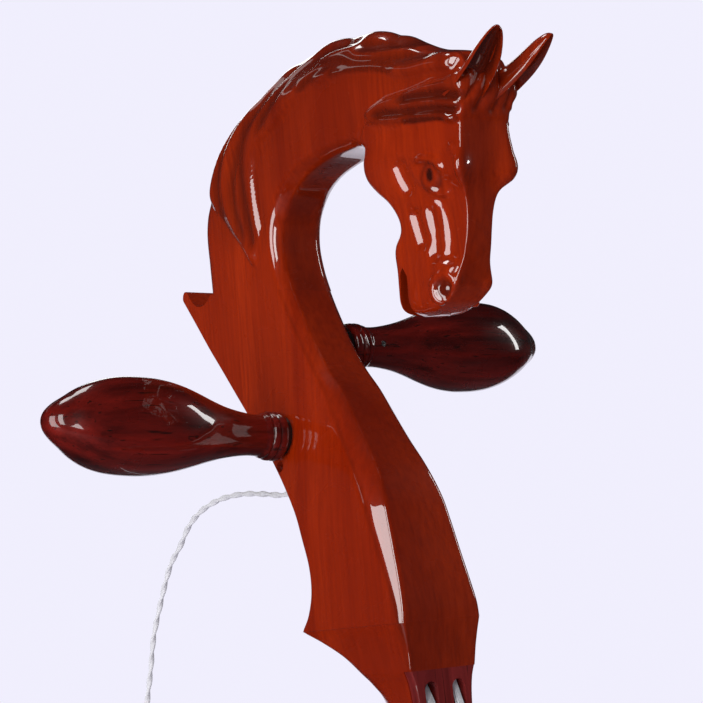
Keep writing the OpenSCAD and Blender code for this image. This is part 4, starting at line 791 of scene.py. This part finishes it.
def buildPegbox():
    piece = lofted("pegboxWood", pegbox["rows"], pegbox["ringSteps"])
    rows = smoothRows(pegbox["cavity"], 4)
    corner = np.linspace(0, np.pi / 2, 7)
    rings = []
    for z, front, wide in rows:
        arcX, arcY = wide - 2.5 + 2.5 * np.sin(corner), front + 2.5 - 2.5 * np.cos(corner)
        right = [(a, b) for a, b in zip(arcX, arcY)] + [(wide, 190)]
        rings.append([(a, b, z) for a, b in right] + [(-a, b, z) for a, b in right[::-1]])
    cavity = newMesh("cavity", toMetres(np.array(rings).reshape(-1, 3)), tubeFaces(len(rings), len(rings[0])))
    cutters = [cavity, prism("seam", pegbox["seam"], 60), prism("bed", [(-20, -60), (5, -60), (5, 0), (-20, 0)], 40)]
    for name, side in (("left", -1), ("right", 1)):
        _, _, way = stringDirection(name)
        along, thick = -way * 66, np.array([-way[1], way[0]]) * 4
        start = np.array([0, -17]) + way * 8
        outline = [start - thick, start + thick, start + thick + along * 1.1, start - thick + along * 1.1]
        channel = prism("channel", [tuple(p) for p in outline], 3.5)
        channel.data.transform(Matrix.Translation((side * slotX / 1000, 0, 0)))
        cutters.append(channel)
        cheek = 12.96 if name == "left" else 10.0
        cutters.append(rod("bushingBore", pegPoint(name, cheek - 3), pegPoint(name, cheek + 25), 9.55))
        cutters.append(rod("shaftBore", pegPoint(name, -cheek - 4), pegPoint(name, 0), 5.05))
    cutters.append(rod("cordHole", (-40, 86, 99.5), (-8, 86, 99.5), 2.75, 32))
    cut(piece, cutters)
    points = np.empty(3 * len(piece.data.vertices), np.float32)
    piece.data.vertices.foreach_get("co", points)
    depth, level = (points.reshape(-1, 3) * 1000 - facingEdge)[:, 1:].T
    edge = np.array(pegbox["rows"])
    across = np.abs(points[::3]) * 1000
    front, wide, bevel = (np.interp(level, edge[:, 0], edge[:, k]) for k in (1, 3, 5))
    nearFront = ease(1 - (depth - front) / 7)
    corner = np.hypot(across - wide, depth - front - bevel)
    # darker towards the bottom, and darker near the front: there partly deeper stain, partly painted shade for faces
    # turned from the key light
    tone = 0.12 * ease((62 - level) / 60) + 0.22 * nearFront * ease((190 - level) / 60)
    tone += 0.3 * np.exp(-(corner / 1.3) ** 2) * ease((level - 5) / 20)   # darker along the bevel's edge
    piece.data.attributes.new("carved", "FLOAT", "POINT").data.foreach_set("value", tone.astype(np.float32))
    return dress(piece, "fiddle", lacqueredMaple, ["pegbox"], 30)


pegboxWood = buildPegbox()
print("pegbox carved", len(pegboxWood.data.polygons))

neckLength = 448
neckRows = [
    [-neckLength, 0, 62, 18, 17.5, 1, 14], [-neckLength + 12, 0, 59, 18, 17.5, 1, 15],
    [-neckLength + 30, 0, 50.6, 17.7, 17.2, 1, 16], [-neckLength + 52, 0, 41, 17.4, 16.9, 1, 17],
    [-neckLength + 80, 0, 35.6, 17, 16.5, 1, 17.5], [-neckLength + 120, 0, 33.2, 16.5, 16, 1, 17.5],
    [-104, 0, 32, neckHalf + 0.6, neckHalf + 0.1, 1, 16.5], [-44, 0, 32, neckHalf, neckHalf - 0.5, 1, 16]]
neckWood = lofted("neckWood", neckRows, 8, 5.0)
stick = newMesh("stick", [(x, y, z) for z in (0.034, 0.328) for x, y in (
    (-0.012, -0.029), (0.012, -0.029), (0.012, -0.005), (-0.012, -0.005))], tubeFaces(2, 4))
stick.data.transform(Matrix.Translation((0, (-43 + 5 + 13.5 + 7.5 - 12) / 1000 + 0.029, 0)))
joinInto(neckWood, [stick])
cut(neckWood, [newMesh("step", [(x, y, z) for z in (0.320, 0.330) for x, y in (
    (-0.05, -0.08), (0.05, -0.08), (0.05, -0.038), (-0.05, -0.038))], tubeFaces(2, 4))])
dress(neckWood, "fiddle", lacqueredMaple, ["neck"], 30)


def buildFacing():
    """The rosewood facing, with softened edges and a slot for each string."""
    foot = -neckLength + 3
    edge = [[foot, 17.5], [-neckLength + 12, 17.5], [-neckLength + 30, 17.2], [-neckLength + 52, 16.9],
            [-neckLength + 80, 16.5], [-neckLength + 120, 16], [-104, neckHalf + 0.1], [-44, neckHalf - 0.5],
            [-26, neckHalf - 0.5], [-13, neckHalf + 0.1], [-5, mix(neckHalf, facingHalf, 0.6) - 0.5], [0, facingHalf]]
    rows = smoothRows(edge, 6)
    rings = []
    for z, wide in rows:
        right = [(wide * t, 0) for t in np.linspace(0, 1, 9)[:-1]] + [
            (wide - 0.9, 0), (wide - 0.35, 0.15), (wide, 0.6), (wide, 1.6), (wide, 3), (wide, 5)]
        right += [(wide * t, 5) for t in np.linspace(1, 0, 5)[1:]]
        rings.append([(a, b, z) for a, b in right] + [(-a, b, z) for a, b in right[-2:0:-1]])
    piece = newMesh("facingWood", toMetres(np.array(rings).reshape(-1, 3)), tubeFaces(len(rings), len(rings[0])))
    turn = np.linspace(0, np.pi, 13)
    for side in (-1, 1):
        outline = [(side * slotX + 3.5 * math.cos(a), -8.5 + 3.5 * math.sin(a)) for a in turn]
        outline += [(side * slotX - 3.5 * math.cos(a), -21.5 - 3.5 * math.sin(a)) for a in turn]
        n = len(outline)
        points = [(x, y, z) for y in (-3, 9) for x, z in outline]
        cut(piece, [newMesh("slot", toMetres(points), tubeFaces(2, n))])
    return dress(piece, "fiddle", rosewoodFacing, ["facing"], 30)


buildFacing()
print("neck and facing made")

# Pegs: turned collar beads, then a leaf with four soft ridges
peg = {
    "leaf": [[-0.02, 0, 2], [0.04, 0, 2], [0.1, 0.06, 1.95], [0.17, 0.18, 1.85], [0.24, 0.36, 1.74],
             [0.31, 0.57, 1.64], [0.38, 0.76, 1.56], [0.45, 0.9, 1.5], [0.52, 0.98, 1.47], [0.58, 1, 1.46],
             [0.65, 0.985, 1.46], [0.72, 0.91, 1.48], [0.79, 0.74, 1.52], [0.855, 0.47, 1.58],
             [0.91, 0.14, 1.68], [0.95, -0.1, 1.8], [0.98, -0.35, 1.9], [0.996, -0.6, 2], [1, -0.78, 2]],
    "collar": [[0, 0.5], [0, 9], [0.05, 10.7], [0.5, 11.4], [1.2, 11.75], [3.2, 11.75], [3.9, 11.2], [4.3, 10.9],
               [4.7, 11.2], [5.3, 11.75], [6.8, 11.6], [7.6, 10.9], [7.9, 10.5], [8.3, 10.8], [9, 10.95], [9.8, 10.7],
               [10.6, 10.2], [12, 9.85], [13, 9.6], [13, 0.5]],
    "waist": 10.0,
    "widest": 23.5,
    "collarLength": 12.0,
    "length": 122.0,
    "sides": 96,
    "ridge": {"left": 63, "right": 20},
    "cheek": {"left": 18.46, "right": 15.5},
}


def buildPeg(name):
    start = peg["cheek"][name] + 2.4
    rows = smoothRows(peg["leaf"], 6)
    turn = np.arange(peg["sides"]) * 2 * np.pi / peg["sides"]
    grid = []
    for out, swell, power in rows:
        radius = peg["waist"] + swell * (peg["widest"] - peg["waist"])
        q = radius / (np.abs(np.cos(turn)) ** power + np.abs(np.sin(turn)) ** power) ** (1 / power)
        angle = turn + math.radians(peg["ridge"][name])
        z = start + peg["collarLength"] + out * (peg["length"] - peg["collarLength"])
        grid += [pegPoint(name, z, a, b) for a, b in zip(q * np.cos(angle), q * np.sin(angle))]
    leaf = newMesh(name + "Peg", toMetres(grid), tubeFaces(len(rows), peg["sides"]))
    grid = [pegPoint(name, start + z, r * math.cos(a), r * math.sin(a)) for z, r in peg["collar"] for a in turn]
    collar = newMesh("collar", toMetres(grid), tubeFaces(len(peg["collar"]), peg["sides"]))
    fixNormals(leaf)
    cut(leaf, [collar], "UNION")
    side = -1 if name == "right" else 1
    cut(leaf, [rod("screwHole", pegPoint(name, start + 17, 0, side * 4), pegPoint(name, start + 17, 0, side * 20),
                   1.55, 24)])
    return dress(leaf, name + "_peg", rosewoodPeg, [name + "_peg_handle"], 40)


for name in ("left", "right"):
    buildPeg(name)
print("pegs turned")


def tube(name, path, sizes, sides, lobes=0, twist=0.0, lobeDepth=0.0):
    """A tube along points in millimetres. Lobes make it look laid up from strands."""
    path = np.asarray(path, float)
    tangent = np.gradient(path, axis=0)
    tangent /= np.linalg.norm(tangent, axis=1)[:, None]
    sizes = np.broadcast_to(np.asarray(sizes, float), (len(path), 2))
    side = np.zeros_like(path)
    guess = np.array([1.0, 0, 0])
    for i, t in enumerate(tangent):
        guess = guess - (guess @ t) * t
        guess /= np.linalg.norm(guess)
        side[i] = guess
    lift = np.cross(tangent, side)
    run = np.concatenate([[0], np.cumsum(np.linalg.norm(np.diff(path, axis=0), axis=1))])
    turn = np.arange(sides) * 2 * np.pi / sides
    shape = 1 - lobeDepth * (0.5 - 0.5 * np.cos(lobes * (turn[None, :] - run[:, None] * twist)))
    grid = path[:, None, :] + (sizes[:, :1] * np.cos(turn) * shape)[:, :, None] * side[:, None, :] \
        + (sizes[:, 1:] * np.sin(turn) * shape)[:, :, None] * lift[:, None, :]
    return newMesh(name, toMetres(grid.reshape(-1, 3)), tubeFaces(len(path), sides))


# The loose end of the tying cord
tailRoute = [[-10.4, 69, 99], [-11.6, 72, 96], [-12, 80, 91], [-13, 94, 87], [-14, 110, 89],
             [-16, 126, 91], [-18, 142, 91], [-19, 156, 89], [-20, 168, 85], [-20, 179, 79],
             [-20, 188, 71], [-20, 199, 63], [-20, 208, 52], [-20, 216, 40], [-21, 223, 25],
             [-21, 229, 8], [-22, 234, -10], [-22, 238, -30], [-23, 241, -50], [-23, 243, -70]]
tailPath = smoothRows(tailRoute, 14)
tailCord = tube("tailCord", tailPath, (1.5, 1.5), 16, 2, 0.3, 0.46)
dress(tailCord, "fiddle", whiteCord, ["string_tail"], 60)

# Windings, and the strings that leave them
windTurns, windPitch, bendRadius = 5, 2.9, 1.5
windStart = slotX - windTurns * windPitch


def buildWinding(name):
    side = pegAxes[name][3]
    normal, _, _ = stringDirection(name)
    a0 = math.atan2(normal[0], -normal[1]) if side > 0 else math.atan2(normal[0], normal[1])
    path = [(windRadius - bendRadius - 2.4, a0, windStart), (windRadius - bendRadius - 0.6, a0, windStart)]
    lead = math.asin(bendRadius / windRadius)
    for b in np.radians(np.arange(0, 68, 22.5)):
        out, off = windRadius - bendRadius + bendRadius * math.sin(b), side * bendRadius * (1 - math.cos(b))
        path.append((math.hypot(out, off), a0 + math.atan2(off, out), windStart))
    for i in range(1, windTurns * 36 + 1):
        t = i / 36
        if t * 2 * math.pi > lead + 0.1:
            path.append((windRadius, a0 + side * 2 * math.pi * t, windStart + windPitch * t))
    points = [pegPoint(name, z, r * math.cos(a), r * math.sin(a)) for r, a, z in path]
    leave = side * np.array([-math.sin(a0), math.cos(a0)])
    for run in (0.96, 2.8):
        base = windRadius * np.array([math.cos(a0), math.sin(a0)]) + leave * run
        points.append(pegPoint(name, slotX, *base))
    piece = tube(name + "Winding", points, (1.2, 1.2), 12, 3, 0.7, 0.16)
    return dress(piece, name + "_peg", nylon, [name + "_winding"], 60)


for name in ("left", "right"):
    buildWinding(name)

strings = {
    "filaments": 34,
    "radius": 0.3,
    "spread": (2.2, 0.75),
    "bridgeSpacing": 13.0,
}


def stringPath(name):
    """The same run as the solid string: winding, slot, upper bridge, bridge, tailpiece."""
    side = pegAxes[name][3]
    _, leave, way = stringDirection(name)
    clear = math.sqrt((windRadius + 1.5) ** 2 - (windRadius - 1.2) ** 2) + 0.3
    x, xb, xt = side * slotX, side * 13.0, side * 10.0
    start, knot, slot = leave + clear * way, leave + (clear + 16) * way, np.array([0, -17.0])
    nutY, nutZ, bridgeY, bridgeZ = -8.3, -34.0, -29.0, 152 - 775.0
    lean = np.array([-math.sin(math.radians(8)), math.cos(math.radians(8))])
    tailFoot = np.array([-(47 + 3 + 5) + 48.0, 12 + 24 - 775.0])
    tailTop = tailFoot + 62 * lean
    grip = tailTop - 9 * lean
    rows = [(x, *start), (x, *mix(start, knot, 0.6)), (x, *knot), (x, *mix(knot, slot, 0.5)), (x, *(slot - 5 * way)),
            (x, slot[0] - 0.8, slot[1] - 2.4), (x, nutY + 0.4, nutZ + 4.5), (x, nutY - 0.2, nutZ + 1.5),
            (x, nutY - 0.2, nutZ - 2), (x, nutY, nutZ - 8),
            (mix(x, xb, 0.5), mix(nutY, bridgeY, 0.5), mix(nutZ, bridgeZ, 0.5)),
            (xb, bridgeY + 0.3, bridgeZ + 12), (xb, bridgeY - 0.4, bridgeZ + 2.5), (xb, bridgeY - 0.4, bridgeZ - 2.5),
            (xb, bridgeY + 2.6, bridgeZ - 8),
            (mix(xb, xt, 0.9), mix(bridgeY, tailTop[0], 0.92), mix(bridgeZ, tailTop[1], 0.92)),
            (xt, *tailTop), (xt, *grip)]
    return np.array(rows)


def resample(path, gap):
    run = np.concatenate([[0], np.cumsum(np.linalg.norm(np.diff(path, axis=0), axis=1))])
    count = max(8, int(run[-1] / gap))
    where = np.linspace(0, run[-1], count)
    return np.stack([np.interp(where, run, path[:, k]) for k in range(3)], 1)


def buildString(name, label):
    rows = stringPath(name)
    path = np.vstack([resample(rows[:10], 1.5), resample(rows[9:], 9.0)[1:]])
    share = np.linspace(0, 1, len(path))
    tight = ease(np.linalg.norm(path - path[0], axis=1) / 18)   # the hank opens out after its knot
    pieces = []
    for k in range(strings["filaments"]):
        angle, out = rng.uniform(0, 2 * np.pi), math.sqrt(rng.uniform(0, 1))
        drift = 0.12 * np.sin(share * rng.uniform(10, 40) + rng.uniform(0, 6))
        wide = mix(0.75, strings["spread"][0], tight) * (out * math.cos(angle) + drift)
        deep = mix(0.75, strings["spread"][1], tight) * (out * math.sin(angle) + drift * 0.5)
        line = path + np.stack([wide, deep, deep * 0], 1)
        pieces.append(tube("filament", line, (strings["radius"],) * 2, 5))
    first = pieces[0]
    first.name = first.data.name = label
    joinInto(first, pieces[1:])
    return dress(first, "fiddle", nylon, [label_node[label]], 80)


label_node = {"lowString": "low_string", "highString": "high_string"}
buildString("left", "lowString")
buildString("right", "highString")
print("strings strung")

# The gut: out of the tailpiece's foot, over the saddle, round the button's neck and back
tailGut = {"across": 9.0, "radius": 1.5, "turn": 7.3, "saddle": -50.8, "low": 7.2, "neck": 9.0, "foot": (-55, 36)}


def buildTailGut():
    lean = np.array([-math.sin(math.radians(8)), math.cos(math.radians(8))])
    foot, across, saddle = np.array(tailGut["foot"]), tailGut["across"], tailGut["saddle"]
    low, neck, turn = tailGut["low"], tailGut["neck"], tailGut["turn"]
    half = [(across, *(foot + 11 * lean)), (across, *foot), (across, *(foot - 3 * lean)),
            (across, saddle - 1, 22), (across, saddle, 17), (across, saddle + 0.2, 13), (across, saddle + 1.2, low + 1.6),
            (across, saddle + 3.4, low), (across, saddle + 8, low), (mix(across, turn, 0.5), saddle * 0.4, low),
            (turn, -6, mix(low, neck, 0.8))]
    bow = [(turn * math.cos(a), turn * math.sin(a), neck) for a in np.radians(np.arange(0, 181, 20))]
    route = np.array(half + bow + [(-x, y, z) for x, y, z in half[::-1]]) - facingEdge
    piece = tube("tailGut", smoothRows(route, 5), (tailGut["radius"],) * 2, 12, 2, 0.5, 0.08)
    return dress(piece, "fiddle", gut, ["tail_gut"], 60)


buildTailGut()

# CAD nodes that keep their own shape get their finish here
finishes = {
    lacqueredMaple: ["top_rib", "bottom_rib", "left_rib", "right_rib"],
    flamedMaple: ["back_plate"],
    stainedSpruce: ["front_plate"],
    bareSpruce: ["front_lining", "back_lining", "corner_blocks", "top_block", "tail_block", "bass_bar",
                 "sound_post"],
    ebony: ["upper_bridge", "left_bushing", "right_bushing", "front_binding", "back_binding",
            "bottom_saddle", "end_button"],
    oiledMaple: ["bridge"],
    rosewoodFacing: ["tailpiece"],
    rosewoodPeg: ["left_peg_shaft", "right_peg_shaft"],
    steel: ["left_lock_screw", "right_lock_screw"],
}
for material, names in finishes.items():
    for name in names:
        nodes[name].data.materials.clear()
        nodes[name].data.materials.append(material)

# Studio: a pale floor and surround, dark cloths that only reflections see, and soft boxes
floorMesh = newMesh("floor", [(-2.5, -2.5, -0.0095), (2.5, -2.5, -0.0095), (2.5, 2.5, -0.0095), (-2.5, 2.5, -0.0095)],
                    [[0, 1, 2, 3]])
paper = bpy.data.materials.new("paleFloor")
paper.use_nodes = True
paperTree = paper.node_tree
fibres = put(paperTree, "TexNoise", {"Scale": 60, "Detail": 4})
tone = put(paperTree, "ValToRGB", {"Fac": fibres.outputs["Fac"]})
tone.color_ramp.elements[0].color = (0.84, 0.83, 0.93, 1)
tone.color_ramp.elements[1].color = (0.88, 0.87, 0.97, 1)
paperTree.links.new(tone.outputs["Color"], paperTree.nodes["Principled BSDF"].inputs["Base Color"])
paperShader = paperTree.nodes["Principled BSDF"]
paperShader.inputs["Roughness"].default_value = 0.7
paperTree.links.new(tone.outputs["Color"], paperShader.inputs["Emission Color"])
lift = put(paperTree, "Math", {0: put(paperTree, "LightPath").outputs["Is Camera Ray"], 1: 0.3}, operation="MULTIPLY")
paperTree.links.new(lift.outputs[0], paperShader.inputs["Emission Strength"])
floorMesh.data.materials.append(paper)

cloth = bpy.data.materials.new("darkCloth")
cloth.use_nodes = True
clothTree = cloth.node_tree
weave = put(clothTree, "ValToRGB", {"Fac": put(clothTree, "TexNoise", {"Scale": 8}).outputs["Fac"]})
weave.color_ramp.elements[0].color = (0.015, 0.014, 0.018, 1)
weave.color_ramp.elements[1].color = (0.03, 0.028, 0.034, 1)
clothTree.links.new(weave.outputs["Color"], clothTree.nodes["Principled BSDF"].inputs["Base Color"])
cloths = {"radius": 2.4, "levels": [0.02, 0.3, 1.36, 3.4], "sides": 48, "window": (26, 84)}
ring = [(cloths["radius"] * math.cos(a), cloths["radius"] * math.sin(a))
        for a in np.arange(cloths["sides"]) * 2 * np.pi / cloths["sides"]]
walls = tubeFaces(4, cloths["sides"])
opened = [k for k in range(cloths["sides"]) if cloths["window"][0] <= k * 360 / cloths["sides"] < cloths["window"][1]]
walls = [face for n, face in enumerate(walls) if n - cloths["sides"] not in opened]
darkTent = newMesh("darkTent", [(x, y, z) for z in cloths["levels"] for x, y in ring], walls)
darkTent.data.materials.append(cloth)
darkTent.visible_camera = darkTent.visible_diffuse = darkTent.visible_shadow = False
darkTent.visible_transmission = darkTent.visible_volume_scatter = False

world = bpy.data.worlds.new("studio")
bpy.context.scene.world = world
world.use_nodes = True
sky = world.node_tree
background = sky.nodes["Background"]
paths = put(sky, "LightPath").outputs
seen = put(sky, "Math", {0: paths["Is Camera Ray"], 1: paths["Is Glossy Ray"]}, operation="MAXIMUM")
shown = put(sky, "Math", {0: seen.outputs[0], 1: paths["Is Transmission Ray"]}, operation="MAXIMUM")
surround = put(sky, "Mix", data_type="RGBA")
sky.links.new(shown.outputs[0], surround.inputs[0])
surround.inputs[6].default_value = (0.24, 0.24, 0.26, 1)
surround.inputs[7].default_value = (0.875, 0.86, 0.985, 1)
sky.links.new(surround.outputs[2], background.inputs["Color"])
background.inputs["Strength"].default_value = 1.0

lamps = {   # place, aimed at, width, height, watts
    "leftBox": [(-1.78, -0.38, 0.98), (0, 0.05, 0.93), 0.7, 1.75, 17],
    "leftStrip": [(-1.45, -1.05, 1.3), (0, 0, 0.95), 0.34, 1.3, 8],
    "strandBox": [(-0.5, 1.55, 2.3), (0, 0.05, 1.0), 1.3, 0.07, 0.2],
    "topBox": [(-0.4, 0.3, 2.5), (0, 0, 0.95), 0.5, 0.4, 4],
    "rightStrip": [(1.3, -0.5, 1.5), (0, 0, 0.95), 0.14, 0.8, 3],
    "backBox": [(0.7, 1.5, 1.9), (0, 0, 0.9), 0.5, 0.7, 3],
}
for name, (spot, aim, wide, tall, watts) in lamps.items():
    light = bpy.data.lights.new(name, "AREA")
    light.shape, light.size, light.size_y, light.energy = "RECTANGLE", wide, tall, watts
    lamp = bpy.data.objects.new(name, light)
    bpy.context.scene.collection.objects.link(lamp)
    lamp.location = spot
    lamp.rotation_mode = "QUATERNION"
    lamp.rotation_quaternion = (Vector(aim) - Vector(spot)).to_track_quat("-Z", "Y")
bpy.context.scene.view_settings.view_transform = "Standard"
